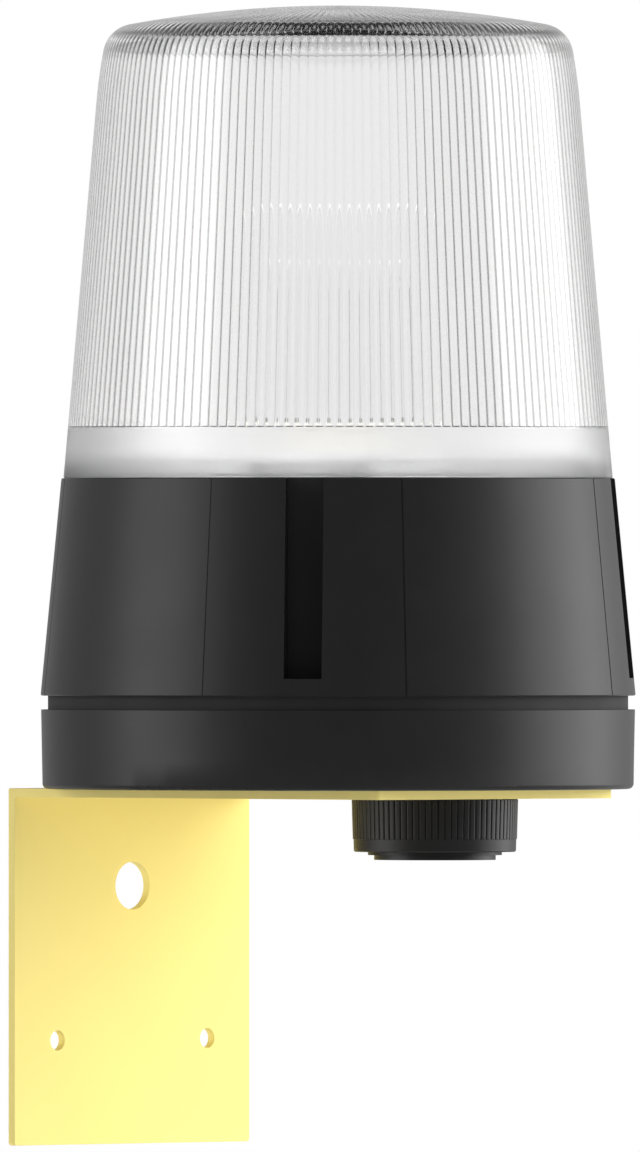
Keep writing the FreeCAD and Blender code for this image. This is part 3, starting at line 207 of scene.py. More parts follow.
def maths_in(nodes, links):
    """A function that adds a math node fed by sockets and numbers, and returns its output."""
    def maths(operation, *operands):
        node = nodes.new("ShaderNodeMath")
        node.operation = operation
        for socket, operand in zip(node.inputs, operands):
            if isinstance(operand, (int, float)):
                socket.default_value = operand
            else:
                links.new(operand, socket)
        return node.outputs[0]

    return maths


def set_stops(ramp, stops):
    """Fill a colour ramp with grey (position, level) stops."""
    elements = ramp.color_ramp.elements
    for index, (spot, level) in enumerate(stops):
        stop = elements[index] if index < 2 else elements.new(spot)
        stop.position = spot
        stop.color = (level, level, level, 1)


def moulded(name, base, low=0.34, high=0.42, strength=0.12, gloss=0.17):
    """Moulded plastic or rubber with a satin grain."""
    material, nodes, links, shader = fresh_material(name)
    shader.inputs["Specular IOR Level"].default_value = gloss
    vary_colour(nodes, links, shader, base, 0.08, 90)
    vary_roughness(nodes, links, shader, low, high, 60)
    grain(nodes, links, shader, 2600, strength, 0.05 * MM)
    return material


def painted(name, base):
    """Powder coat with a slight orange peel."""
    material, nodes, links, shader = fresh_material(name)
    shader.inputs["Specular IOR Level"].default_value = 0.1
    vary_colour(nodes, links, shader, base, 0.012, 40)
    vary_roughness(nodes, links, shader, 0.36, 0.48, 120)
    grain(nodes, links, shader, 900, 0.08, 0.04 * MM)
    return material


def metal(name, base, low=0.22, high=0.38):
    """Drawn or plated metal with fine scratches."""
    material, nodes, links, shader = fresh_material(name)
    shader.inputs["Metallic"].default_value = 1.0
    vary_colour(nodes, links, shader, base, 0.06, 300)
    vary_roughness(nodes, links, shader, low, high, 700)
    grain(nodes, links, shader, 4000, 0.08, 0.02 * MM)
    return material


def clear(name, base, index):
    """Clear plastic or glass."""
    material, nodes, links, shader = fresh_material(name)
    shader.inputs["Transmission Weight"].default_value = 1.0
    shader.inputs["IOR"].default_value = index
    vary_colour(nodes, links, shader, base, 0.01, 30)
    vary_roughness(nodes, links, shader, 0.02, 0.05, 40)
    grain(nodes, links, shader, 500, 0.02, 0.02 * MM)
    return material


def clear_lens():
    """Clear moulding, satin in the smooth band at its foot, with painted shade darkening its shoulder.
    """
    material, nodes, links, shader = fresh_material("clear_lens")
    shader.inputs["Transmission Weight"].default_value = 1.0
    shader.inputs["IOR"].default_value = PLASTIC_INDEX
    coordinates = nodes.new("ShaderNodeTexCoord")
    apart = nodes.new("ShaderNodeSeparateXYZ")
    links.new(coordinates.outputs["Object"], apart.inputs[0])
    low = LENS_LOW.z
    high = LENS_HIGH.z

    def by_height(stops, target):
        """Feed a socket with a level by height, from (height, level) stops."""
        share = nodes.new("ShaderNodeMapRange")
        share.inputs["From Min"].default_value = low
        share.inputs["From Max"].default_value = high
        links.new(apart.outputs["Z"], share.inputs["Value"])
        ramp = nodes.new("ShaderNodeValToRGB")
        set_stops(ramp, [((height - low) / (high - low), level) for height, level in stops])
        links.new(share.outputs["Result"], ramp.inputs["Fac"])
        links.new(ramp.outputs["Color"], target)

    band = low + sizes().rib_low
    foot = low + FOOT_HEIGHT
    by_height(((low, FOOT_ROUGHNESS), (foot - FOOT_EASE, FOOT_ROUGHNESS), (foot, BAND_ROUGHNESS),
               (band - BAND_EASE, BAND_ROUGHNESS), (band, RIB_ROUGHNESS), (high, RIB_ROUGHNESS)),
              shader.inputs["Roughness"])
    tint = colours().clear[0]
    start = high - SHOULDER_START
    end = high - SHOULDER_END
    # Painted shade: the base colour falls to a darker tint over a band of the shoulder.
    by_height(((low, tint), (start - START_EASE, tint), (start, SHOULDER_PAINTED_SHADE),
               (end, SHOULDER_PAINTED_SHADE), (end + END_EASE, tint), (high, tint)),
              shader.inputs["Base Color"])
    depth = nodes.new("ShaderNodeVolumeAbsorption")
    depth.inputs["Color"].default_value = (0, 0, 0, 1)
    depth.inputs["Density"].default_value = LENS_ABSORPTION
    links.new(depth.outputs[0], nodes["Material Output"].inputs["Volume"])
    return material


def slot_materials():
    """One finished material for each material slot of the record."""
    black = tuple(colours().black)
    return {
        "bracket_paint": painted("bracket_coat", tuple(colours().paint)),
        "black_plastic": moulded("black_moulding", black),
        "gasket_rubber": moulded("black_rubber", tuple(1.4 * channel for channel in black), 0.6, 0.75),
        "screw_steel": metal("zinc_plated_steel", (0.6, 0.6, 0.58)),
        "insert_brass": metal("turned_brass", (0.72, 0.5, 0.2)),
        "board_green": moulded("solder_mask", (0.02, 0.16, 0.06), 0.2, 0.3, 0.03),
        "capacitor_sleeve": moulded("shrink_sleeve", (0.02, 0.025, 0.06), 0.2, 0.3, 0.05),
        "ferrite": moulded("ferrite_core", (0.06, 0.06, 0.065), 0.55, 0.7),
        "winding_copper": metal("lacquered_copper", (0.72, 0.3, 0.12)),
        "terminal_plastic": moulded("grey_moulding", (0.09, 0.1, 0.11)),
        "coil_plastic": moulded("yellow_tape", (0.7, 0.5, 0.08), 0.25, 0.4),
        "white_plastic": moulded("white_moulding", (0.86, 0.86, 0.86), 0.25, 0.4, 0.05),
        "socket_ceramic": moulded("white_ceramic", (0.8, 0.79, 0.75), 0.5, 0.65, 0.2),
        "lead_metal": metal("tinned_wire", (0.7, 0.7, 0.7), 0.15, 0.3),
        "tube_glass": clear("tube_glass", (0.98, 0.98, 0.98), TUBE_INDEX),
        "cover_glass": clear("cover_glass", (0.99, 0.99, 0.99), COVER_INDEX),
        "seal_silicone": moulded("clear_silicone", (0.75, 0.75, 0.73), 0.5, 0.6, 0.05),
        "clear_plastic": clear_lens(),
        "disc_brass": metal("sheet_brass", (0.75, 0.55, 0.25)),
        "lead_sleeve": moulded("red_sleeve", (0.45, 0.02, 0.02), 0.35, 0.5),
    }


MATERIALS = {}


def material_of(slot):
    if not MATERIALS:
        MATERIALS.update(slot_materials())
    return MATERIALS[slot]


def give(obj, material):
    obj.data.materials.clear()
    obj.data.materials.append(material)


# Mesh making

def link(name, data):
    obj = bpy.data.objects.new(name, data)
    bpy.context.scene.collection.objects.link(obj)
    return obj


def from_bmesh(name, mesh):
    data = bpy.data.meshes.new(name)
    mesh.to_mesh(data)
    mesh.free()
    return link(name, data)


def lathe(name, outline, columns, centre, turn=0.0, reach=None):
    """A closed piece turned round the vertical from rows of (radius, height, share of the flutes).
    reach(row, radius, angle) may move a point of a row along its radius."""
    mesh = bmesh.new()
    mark = mesh.verts.layers.float.new("flute")
    rings = []
    for row, point in enumerate(outline):
        radius, height = point[:2]
        share = point[2] if len(point) > 2 else 0.0
        spots = []
        for column in range(columns if radius > 0 else 1):
            angle = turn + 2 * math.pi * column / columns
            out = reach(row, radius, angle) if reach else radius
            spots.append(Vector((out * math.cos(angle), out * math.sin(angle), height)))
        ring = [mesh.verts.new(centre + spot) for spot in spots]
        for vertex in ring:
            vertex[mark] = share
        rings.append(ring)
    for lower, upper in zip(rings, rings[1:] + rings[:1]):
        if len(lower) == 1 and len(upper) == 1:
            continue
        for column in range(columns):
            after = (column + 1) % columns
            if len(lower) == 1:
                corners = (lower[0], upper[after], upper[column])
            elif len(upper) == 1:
                corners = (lower[column], lower[after], upper[0])
            else:
                corners = (lower[column], lower[after], upper[after], upper[column])
            mesh.faces.new(corners)
    bmesh.ops.recalc_face_normals(mesh, faces=mesh.faces)
    return from_bmesh(name, mesh)


def radial_box(name, start, lower_end, upper_end, width, low, high, angle):
    """A box along a radius of the beacon, whose outer face may lean with the housing."""
    mesh = bmesh.new()
    bmesh.ops.create_cube(mesh, size=1.0)
    for vertex in mesh.verts:
        upper = vertex.co.z > 0
        outer = upper_end if upper else lower_end
        inner = start if not isinstance(start, tuple) else start[1 if upper else 0]
        vertex.co.x = outer if vertex.co.x > 0 else inner
        vertex.co.y *= width
        vertex.co.z = high if upper else low
    bmesh.ops.rotate(mesh, cent=(0, 0, 0), matrix=Matrix.Rotation(angle, 3, "Z"), verts=mesh.verts)
    bmesh.ops.translate(mesh, vec=AXIS, verts=mesh.verts)
    return from_bmesh(name, mesh)


def joined(name, parts):
    """Several separate solids in one object."""
    mesh = bmesh.new()
    for part in parts:
        mesh.from_mesh(part.data)
        drop(part)
    return from_bmesh(name, mesh)


def drop(obj):
    data = obj.data
    bpy.data.objects.remove(obj)
    bpy.data.meshes.remove(data)


def combine(piece, tool, operation):
    """Apply one boolean and drop its tool."""
    modifier = piece.modifiers.new("combine", "BOOLEAN")
    modifier.object = tool
    modifier.operation = operation
    modifier.solver = "EXACT"
    settle(piece)
    drop(tool)


def settle(piece):
    """Turn a piece's modifiers into plain mesh."""
    bpy.context.view_layer.update()
    evaluated = piece.evaluated_get(bpy.context.evaluated_depsgraph_get())
    made = bpy.data.meshes.new_from_object(evaluated)
    old = piece.data
    piece.modifiers.clear()
    piece.data = made
    bpy.data.meshes.remove(old)


def smooth(piece, degrees=30.0):
    """Smooth shading that breaks at sharper edges."""
    piece.data.shade_smooth()
    piece.data.set_sharp_from_angle(angle=math.radians(degrees))


def soften(piece, width):
    """Small rounding of the sharp edges; flat faces keep their own normals."""
    modifier = piece.modifiers.new("soften", "BEVEL")
    modifier.width = width
    modifier.segments = 2
    modifier.limit_method = "ANGLE"
    modifier.angle_limit = math.radians(50)
    modifier.harden_normals = True
    piece.data.shade_smooth()
    settle(piece)


def finish_piece(piece, body, slot, *nodes):
    give(piece, material_of(slot))
    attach(piece, body)
    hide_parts(*nodes)
    return piece


def arc(centre, radius, first, last, steps):
    """Points on an arc between two bearings in degrees, without its last point."""
    points = []
    for step in range(steps):
        bearing = math.radians(first + (last - first) * step / steps)
        points.append((centre[0] + radius * math.cos(bearing), centre[1] + radius * math.sin(bearing)))
    return points


# Geometry Nodes

def new_tree(name, inputs):
    """An empty node tree with one geometry socket in and out, and further named inputs."""
    tree = bpy.data.node_groups.new(name, "GeometryNodeTree")
    tree.interface.new_socket("Geometry", in_out="INPUT", socket_type="NodeSocketGeometry")
    for label, kind in inputs:
        tree.interface.new_socket(label, in_out="INPUT", socket_type=kind)
    tree.interface.new_socket("Geometry", in_out="OUTPUT", socket_type="NodeSocketGeometry")
    return tree, tree.nodes.new("NodeGroupInput"), tree.nodes.new("NodeGroupOutput")


def set_inputs(modifier, values):
    """Set a tree's inputs by the identifiers of their sockets."""
    for item in modifier.node_group.interface.items_tree:
        if item.item_type == "SOCKET" and item.in_out == "INPUT" and item.name in values:
            modifier[item.identifier] = values[item.name]


def flute_tree():
    """Moves marked points along the radius by a wave that runs round a vertical axis."""
    tree, entry, leave = new_tree("flutes", (
        ("Count", "NodeSocketFloat"), ("Height", "NodeSocketFloat"), ("Axis X", "NodeSocketFloat"),
        ("Power", "NodeSocketFloat"), ("Narrowness", "NodeSocketFloat"),
        ("Material", "NodeSocketMaterial")))
    nodes = tree.nodes
    links = tree.links
    maths = maths_in(nodes, links)
    position = nodes.new("GeometryNodeInputPosition")
    apart = nodes.new("ShaderNodeSeparateXYZ")
    links.new(position.outputs[0], apart.inputs[0])
    east = maths("SUBTRACT", apart.outputs["X"], entry.outputs["Axis X"])
    north = apart.outputs["Y"]
    turns = maths("MULTIPLY", maths("DIVIDE", maths("ARCTAN2", north, east), 2 * math.pi),
                  entry.outputs["Count"])
    across = maths("ABSOLUTE", maths("MULTIPLY", maths("SUBTRACT", maths("FRACT", turns), 0.5), 2.0))
    wave = maths("POWER", maths("SUBTRACT", 1.0, maths("POWER", across, entry.outputs["Power"])),
                 entry.outputs["Narrowness"])
    mark = nodes.new("GeometryNodeInputNamedAttribute")
    mark.data_type = "FLOAT"
    mark.inputs["Name"].default_value = "flute"
    rise = maths("MULTIPLY", maths("MULTIPLY", wave, entry.outputs["Height"]),
                 mark.outputs["Attribute"])
    square = maths("ADD", maths("MULTIPLY", east, east), maths("MULTIPLY", north, north))
    share = maths("DIVIDE", rise, maths("MAXIMUM", maths("SQRT", square), MM))
    shift = nodes.new("ShaderNodeCombineXYZ")
    links.new(maths("MULTIPLY", east, share), shift.inputs["X"])
    links.new(maths("MULTIPLY", north, share), shift.inputs["Y"])
    move = nodes.new("GeometryNodeSetPosition")
    links.new(entry.outputs["Geometry"], move.inputs["Geometry"])
    links.new(shift.outputs[0], move.inputs["Offset"])
    realize = nodes.new("GeometryNodeRealizeInstances")
    links.new(move.outputs[0], realize.inputs[0])
    coat = nodes.new("GeometryNodeSetMaterial")
    links.new(realize.outputs[0], coat.inputs["Geometry"])
    links.new(entry.outputs["Material"], coat.inputs["Material"])
    links.new(coat.outputs[0], leave.inputs[0])
    return tree


def flute(piece, count, height, axis_x, power, narrowness, slot):
    """Run the flute tree on a piece and keep its result as plain mesh."""
    modifier = piece.modifiers.new("flutes", "NODES")
    modifier.node_group = bpy.data.node_groups.get("flutes") or flute_tree()
    set_inputs(modifier, {"Count": float(count), "Height": height, "Axis X": axis_x,
                          "Power": power, "Narrowness": narrowness, "Material": material_of(slot)})
    settle(piece)


def smooth_tree():
    """Joins the split corners of a CAD node and shades it smooth between its sharp edges."""
    tree, entry, leave = new_tree("smooth_cad", (("Angle", "NodeSocketFloat"),))
    nodes = tree.nodes
    links = tree.links
    bare = nodes.new("GeometryNodeRemoveAttribute")
    bare.inputs["Name"].default_value = "custom_normal"
    weld = nodes.new("GeometryNodeMergeByDistance")
    weld.inputs["Distance"].default_value = 0.001 * MM
    bend = nodes.new("GeometryNodeInputMeshEdgeAngle")
    sharp = nodes.new("FunctionNodeCompare")
    sharp.data_type = "FLOAT"
    sharp.operation = "GREATER_THAN"
    faces = nodes.new("GeometryNodeSetShadeSmooth")
    edges = nodes.new("GeometryNodeSetShadeSmooth")
    edges.domain = "EDGE"
    edges.inputs["Shade Smooth"].default_value = False
    links.new(entry.outputs["Geometry"], bare.inputs["Geometry"])
    links.new(bare.outputs[0], weld.inputs["Geometry"])
    links.new(weld.outputs[0], faces.inputs["Geometry"])
    links.new(faces.outputs[0], edges.inputs["Geometry"])
    links.new(bend.outputs["Unsigned Angle"], sharp.inputs[0])
    links.new(entry.outputs["Angle"], sharp.inputs[1])
    links.new(sharp.outputs[0], edges.inputs["Selection"])
    links.new(edges.outputs[0], leave.inputs[0])
    return tree


CAD_SHARP = math.radians(28)


def dress_node(node, slot):
    """Finish a CAD node that stays: its slot's material, and smooth round faces."""
    obj = frame["nodes"][node]
    give(obj, material_of(slot))
    modifier = obj.modifiers.new("smooth", "NODES")
    modifier.node_group = bpy.data.node_groups.get("smooth_cad") or smooth_tree()
    set_inputs(modifier, {"Angle": CAD_SHARP})


# Lens

LENS_DRAFT = math.radians(5.0)
SOFT_DROP = 21.4 * MM
SOFT_RADIUS = 126.7 * MM
SHOULDER_RADIUS = 7.2 * MM
CROWN_RADIUS = 257.0 * MM
FOOT_THICK = 3.0 * MM
FOOT_WIDTH = 6.2 * MM
LUG_REACH = 3.0 * MM
LUG_HEIGHT = 2.2 * MM
LUG_STEP = 0.02 * MM
LUG_SPAN = math.radians(24.0)
COLUMNS_PER_RIB = 6
WALL_ROWS = 5
SOFT_ROWS = 5
CROWN_ROWS = 12
SHOULDER_ROWS = 12
# A rib's cross-section is a parabola; lengths over which it runs out at its top and its foot.
RIB_POWER = 2.0
RIB_NARROWNESS = 1.0
TOP_FADE = 1.2 * MM
RIB_FADE = 0.2 * MM
INNER_SHOULDER = 7.5 * MM
# Beads on the inner shoulder: start below the lens's top, pace by lean of the skin, and last lean.
BEAD_ROWS = 36
BEAD_START = 8.6 * MM
BEAD_TURN = 9.0
BEAD_END = 1.35
LENS_SHARP_DEGREES = 28


def crown_outline(inset, start, shoulder, shoulder_rows):
    """Radius and height of the lens's skin from a height on the wall up to the axis."""
    tall = LENS_HIGH.z - LENS_LOW.z
    soft_start = tall - SOFT_DROP
    soft = Vector((LENS_FOOT - soft_start * math.tan(LENS_DRAFT) - inset * math.cos(LENS_DRAFT),
                   soft_start - inset * math.sin(LENS_DRAFT)))
    long_arc = SOFT_RADIUS - inset
    crown = CROWN_RADIUS - inset
    soft_centre = soft - Vector((math.cos(LENS_DRAFT), math.sin(LENS_DRAFT))) * long_arc
    crown_centre = Vector((0, tall - inset - crown))
    between = soft_centre - crown_centre
    to_crown = crown - shoulder
    to_soft = long_arc - shoulder
    along = (to_crown ** 2 - to_soft ** 2 + between.length ** 2) / (2 * between.length)
    aside = math.sqrt(to_crown ** 2 - along ** 2)
    direction = between.normalized()
    sideways = Vector((direction.y, -direction.x)) * aside
    middle = crown_centre + direction * along + sideways
    if middle.x < 0:
        middle = crown_centre + direction * along - sideways

    def bearing(centre, point):
        return math.degrees(math.atan2(point.y - centre.y, point.x - centre.x))

    low = bearing(soft_centre, middle)
    high = bearing(crown_centre, middle)
    foot = LENS_FOOT - start * math.tan(LENS_DRAFT) - inset / math.cos(LENS_DRAFT)
    points = []
    for row in range(WALL_ROWS):
        share = row / WALL_ROWS
        points.append((foot + (soft.x - foot) * share, start + (soft.y - start) * share))
    points += arc(soft_centre, long_arc, math.degrees(LENS_DRAFT), low, SOFT_ROWS)
    points += arc(middle, shoulder, low, high, shoulder_rows)
    points += arc(crown_centre, crown, high, 90, CROWN_ROWS)
    points.append((0, crown_centre.y + crown))
    return points


def make_lens():
    choice = sizes()
    wall = choice.lens_wall
    tall = LENS_HIGH.z - LENS_LOW.z
    opening = LENS_FOOT - FOOT_WIDTH
    rib_high = tall - choice.rib_drop
    bead_start = tall - BEAD_START
    inner = []
    for radius, height in crown_outline(wall, choice.rib_low, INNER_SHOULDER, BEAD_ROWS):
        share = min(max((rib_high - height) / TOP_FADE, 0.0), 1.0)
        lean = math.asin(min(max(height - bead_start, 0.0) / INNER_SHOULDER, 1.0))
        if 0 < lean < BEAD_END:
            share = max(share, math.sin(BEAD_TURN * lean) ** 2)
        inner.append((radius, height, share))
    inner_foot = LENS_FOOT - wall / math.cos(LENS_DRAFT)
    slope = math.tan(LENS_DRAFT)
    outline = [(opening, 0), (LENS_FOOT - EDGE, 0)]
    outline += crown_outline(0, EDGE, SHOULDER_RADIUS, SHOULDER_ROWS)
    outline += list(reversed(inner))
    under = choice.rib_low - RIB_FADE
    outline.append((inner_foot - under * slope, under))
    outline.append((inner_foot - FOOT_THICK * slope, FOOT_THICK))
    lug_rows = (len(outline), len(outline) + 1)
    outline.append((opening, FOOT_THICK))
    outline.append((opening, FOOT_THICK - LUG_HEIGHT))
    outline.append((opening, FOOT_THICK - LUG_HEIGHT - LUG_STEP))

    def reach(row, radius, angle):
        if row not in lug_rows:
            return radius
        off = (angle - choice.slot_turn + QUARTER / 2) % QUARTER - QUARTER / 2
        return radius - LUG_REACH if abs(off) < LUG_SPAN / 2 else radius

    centre = AXIS + Vector((0, 0, LENS_LOW.z))
    lens = lathe("clear_lens_dome", outline, choice.rib_count * COLUMNS_PER_RIB, centre, reach=reach)
    flute(lens, choice.rib_count, -choice.rib_height, AXIS.x, RIB_POWER, RIB_NARROWNESS,
          "clear_plastic")
    smooth(lens, LENS_SHARP_DEGREES)
    return finish_piece(lens, "lens_cap", "clear_plastic", "lens")


# Housing

PAN_RADIUS = 65.1 * MM
HOUSING_FALL = 4.55 * MM
HOUSING_WALL = 2.2 * MM
FLANGE_THICK = 2.0 * MM
RIM_WIDTH = 7.6 * MM
DECK_THICK = 2.5 * MM
DECK_OPENING = 40.0 * MM
SEAL_INNER = 54.25 * MM
SEAL_OUTER = 56.15 * MM
SEAL_THICK = 1.2 * MM
SLOT_WIDTH = 8.3 * MM
SLOT_FLOOR = 57.0 * MM
LEDGE_THICK = 3.85 * MM
HEAD_SINK = 2.05 * MM
HEAD_ROOM = 3.55 * MM
SHANK_ROOM = 2.05 * MM
SCREW_RING = 60.6 * MM
SEAM_WIDTH = 0.4 * MM
SEAM_DEPTH = 0.12 * MM
SEAM_SPREADS = (math.radians(20.0), math.radians(16.4))
POST_RING = 45.0 * MM
POST_RADIUS = 3.5 * MM
POST_BORE = 1.55 * MM
POST_LENGTH = 20.0 * MM
MOULD_COLUMNS = 360
POST_COLUMNS = 32
BORE_COLUMNS = 24
SCREW_COLUMNS = 48
MOULD_SHARP_DEGREES = 32


def make_housing():
    foot = HOUSING_FOOT
    tall = HOUSING_HEIGHT
    top = foot - HOUSING_FALL
    slope = HOUSING_FALL / tall
    rim = PAN_RADIUS - RIM_WIDTH
    under = tall - DECK_THICK
    outline = [
        (rim, 0), (foot - EDGE, 0), (foot, EDGE),
        (top + slope * EDGE, tall - EDGE), (top - EDGE, tall),
        (SEAL_OUTER, tall), (SEAL_OUTER, tall - SEAL_THICK),
        (SEAL_INNER, tall - SEAL_THICK), (SEAL_INNER, tall),
        (DECK_OPENING, tall), (DECK_OPENING, under),
        (foot - HOUSING_WALL - slope * under, under),
        (foot - HOUSING_WALL - slope * FLANGE_THICK, FLANGE_THICK),
        (rim, FLANGE_THICK),
    ]
    base = HOUSING_LOW.z
    turn = sizes().slot_turn
    centre = AXIS + Vector((0, 0, base))
    shell = lathe("housing_shell", outline, MOULD_COLUMNS, centre, turn)
    walls = []
    channels = []
    details = []
    for quarter in range(4):
        angle = turn + (quarter - 1) * QUARTER
        inside = foot - HOUSING_WALL / 2
        walls.append(radial_box("channel_wall", SLOT_FLOOR - HOUSING_WALL,
                                inside - slope * FLANGE_THICK / 2, inside - slope * under,
                                SLOT_WIDTH + 2 * HOUSING_WALL, base + FLANGE_THICK / 2,
                                base + under + DECK_THICK / 2, angle))
        channels.append(radial_box("channel", SLOT_FLOOR, foot + MM, foot + MM, SLOT_WIDTH,
                                   base + LEDGE_THICK, base + tall + MM, angle))
        details.append(screw_room(angle, base))
        spread = SEAM_SPREADS[quarter % 2]
        for side in (-1, 1):
            depths = (foot - SEAM_DEPTH + slope * MM, top - SEAM_DEPTH - slope * MM)
            details.append(radial_box("seam", depths, foot + MM, top + MM, SEAM_WIDTH, base - MM,
                                      base + tall + MM, angle + side * spread))
    for degrees in POST_DEGREES:
        bearing = math.radians(degrees)
        spot = AXIS + Vector((POST_RING * math.cos(bearing), POST_RING * math.sin(bearing), base))
        post = [(0, under - POST_LENGTH), (POST_RADIUS, under - POST_LENGTH),
                (POST_RADIUS, under + DECK_THICK / 2), (0, under + DECK_THICK / 2)]
        walls.append(lathe("post", post, POST_COLUMNS, spot))
        bore = [(0, under - POST_LENGTH - MM), (POST_BORE, under - POST_LENGTH - MM),
                (POST_BORE, tall + MM), (0, tall + MM)]
        details.append(lathe("post_bore", bore, BORE_COLUMNS, spot))
    combine(shell, joined("channel_walls", walls), "UNION")
    combine(shell, joined("channels", channels), "DIFFERENCE")
    combine(shell, joined("details", details), "DIFFERENCE")
    smooth(shell, MOULD_SHARP_DEGREES)
    return finish_piece(shell, "base", "black_plastic", "housing")


def screw_room(angle, base):
    """Recess for a screw's head in the ledge, with the hole for its shank."""
    spot = AXIS + Vector((SCREW_RING * math.cos(angle), SCREW_RING * math.sin(angle), base))
    seat = LEDGE_THICK - HEAD_SINK
    outline = [(0, -MM), (SHANK_ROOM, -MM), (SHANK_ROOM, seat), (HEAD_ROOM, seat),
               (HEAD_ROOM, LEDGE_THICK + HEAD_SINK), (0, LEDGE_THICK + HEAD_SINK)]
    return lathe("screw_room", outline, SCREW_COLUMNS, spot)


# Wall bracket

BEND_INSIDE = 0.4 * MM
BEND_OUTSIDE = 0.5 * MM
SHEET_CORNER = 0.8 * MM
CABLE_HOLE_DROP = 21.7 * MM
CABLE_HOLE = 5.25 * MM
FIXING_HOLE = 2.2 * MM
FIXING_PITCH = 46.4 * MM
ENTRY_OFFSET = 14.0 * MM
ENTRY_HOLE = 8.6 * MM
NECK_HOLE = 14.3 * MM
BASE_SCREW_RING = 34.0 * MM
BASE_HOLE = 2.3 * MM
SINK_FOOT = 3.95 * MM
SINK_TOP = 2.05 * MM
BEND_STEPS = 6
CORNER_STEPS = 6
BIG_HOLE_COLUMNS = 96
FIXING_COLUMNS = 64
NECK_COLUMNS = 128
SHEET_EDGE = 0.15 * MM


def make_bracket():
    sheet = sizes().sheet
    far = BRACKET_HIGH.x
    top = BRACKET_HIGH.z
    low = BRACKET_LOW.z
    half = (BRACKET_HIGH.y - BRACKET_LOW.y) / 2
    inner = sheet + BEND_INSIDE
    profile = [(far, top), (BEND_OUTSIDE, top)]
    profile += arc((BEND_OUTSIDE, top - BEND_OUTSIDE), BEND_OUTSIDE, 90, 180, BEND_STEPS)[1:]
    profile += [(0, top - BEND_OUTSIDE), (0, low), (sheet, low), (sheet, top - inner)]
    profile += arc((inner, top - inner), BEND_INSIDE, 180, 90, BEND_STEPS)[1:]
    profile += [(inner, top - sheet), (far, top - sheet)]
    mesh = bmesh.new()
    near = [mesh.verts.new((x, -half, z)) for x, z in profile]
    away = [mesh.verts.new((x, half, z)) for x, z in profile]
    mesh.faces.new(near)
    mesh.faces.new(list(reversed(away)))
    for index in range(len(profile)):
        after = (index + 1) % len(profile)
        mesh.faces.new((near[index], away[index], away[after], near[after]))
    bmesh.ops.recalc_face_normals(mesh, faces=mesh.faces)
    corners = [edge for edge in mesh.edges if is_sheet_corner(edge, far, low, half)]
    bmesh.ops.bevel(mesh, geom=corners, offset=SHEET_CORNER, segments=CORNER_STEPS, profile=0.5,
                    affect="EDGES", clamp_overlap=False)
    bracket = from_bmesh("folded_bracket", mesh)
    holes = [cross_hole("cable_hole", CABLE_HOLE, 0, top - CABLE_HOLE_DROP, sheet,
                        BIG_HOLE_COLUMNS)]
    for side in (-1, 1):
        holes.append(cross_hole("fixing_hole", FIXING_HOLE, side * FIXING_PITCH / 2, 0, sheet,
                                FIXING_COLUMNS))
    holes.append(shelf_hole("entry_hole", ENTRY_HOLE, AXIS.x - ENTRY_OFFSET, top, sheet,
                            BIG_HOLE_COLUMNS))
    holes.append(shelf_hole("neck_hole", NECK_HOLE, BUZZER_AXIS.x, top, sheet, NECK_COLUMNS))
    for degrees in BASE_SCREW_DEGREES:
        bearing = math.radians(degrees)
        x = AXIS.x + BASE_SCREW_RING * math.cos(bearing)
        y = BASE_SCREW_RING * math.sin(bearing)
        depth = SINK_FOOT - SINK_TOP
        outline = [(0, -sheet - MM), (SINK_FOOT, -sheet - MM), (SINK_FOOT, -sheet),
                   (BASE_HOLE, -sheet + depth), (BASE_HOLE, MM), (0, MM)]
        holes.append(lathe("sink", outline, SCREW_COLUMNS, Vector((x, y, top))))
    combine(bracket, joined("bracket_holes", holes), "DIFFERENCE")
    soften(bracket, SHEET_EDGE)
    return finish_piece(bracket, "base", "bracket_paint", "wall_bracket")


def is_sheet_corner(edge, far, low, half):
    """True for the four edges across the sheet's thickness at its free ends."""
    near = 0.01 * MM
    ends = [vertex.co for vertex in edge.verts]
    beside = all(abs(abs(end.y) - half) < near for end in ends)
    same_side = abs(ends[0].y - ends[1].y) < near
    at_end = all(end.x > far - near for end in ends) or all(end.z < low + near for end in ends)
    return beside and same_side and at_end


def shelf_hole(name, radius, x, top, sheet, columns):
    """A cylinder along Z through the bracket's shelf, on its centreline."""
    outline = [(0, -sheet - MM), (radius, -sheet - MM), (radius, MM), (0, MM)]
    return lathe(name, outline, columns, Vector((x, 0, top)))


def cross_hole(name, radius, y, z, sheet, columns):
    """A cylinder along X through the bracket's leg."""
    hole = shelf_hole(name, radius, 0, sheet / 2, 3 * sheet, columns)
    hole.data.transform(Matrix.Translation((sheet * 2, y, z)) @ Matrix.Rotation(QUARTER, 4, "Y"))
    return hole


# Buzzer's knurled ring

KNURL_LENGTH = 8.8 * MM
RING_TAPER = 0.33 * MM
NECK_FIT = 14.05 * MM
KNURL_STEP = 0.05 * MM
KNURL_RUN_OUT = 0.4
KNURL_POWER = 1.0
KNURL_NARROWNESS = 7.0
COLUMNS_PER_KNURL = 10
RING_SHARP_DEGREES = 35


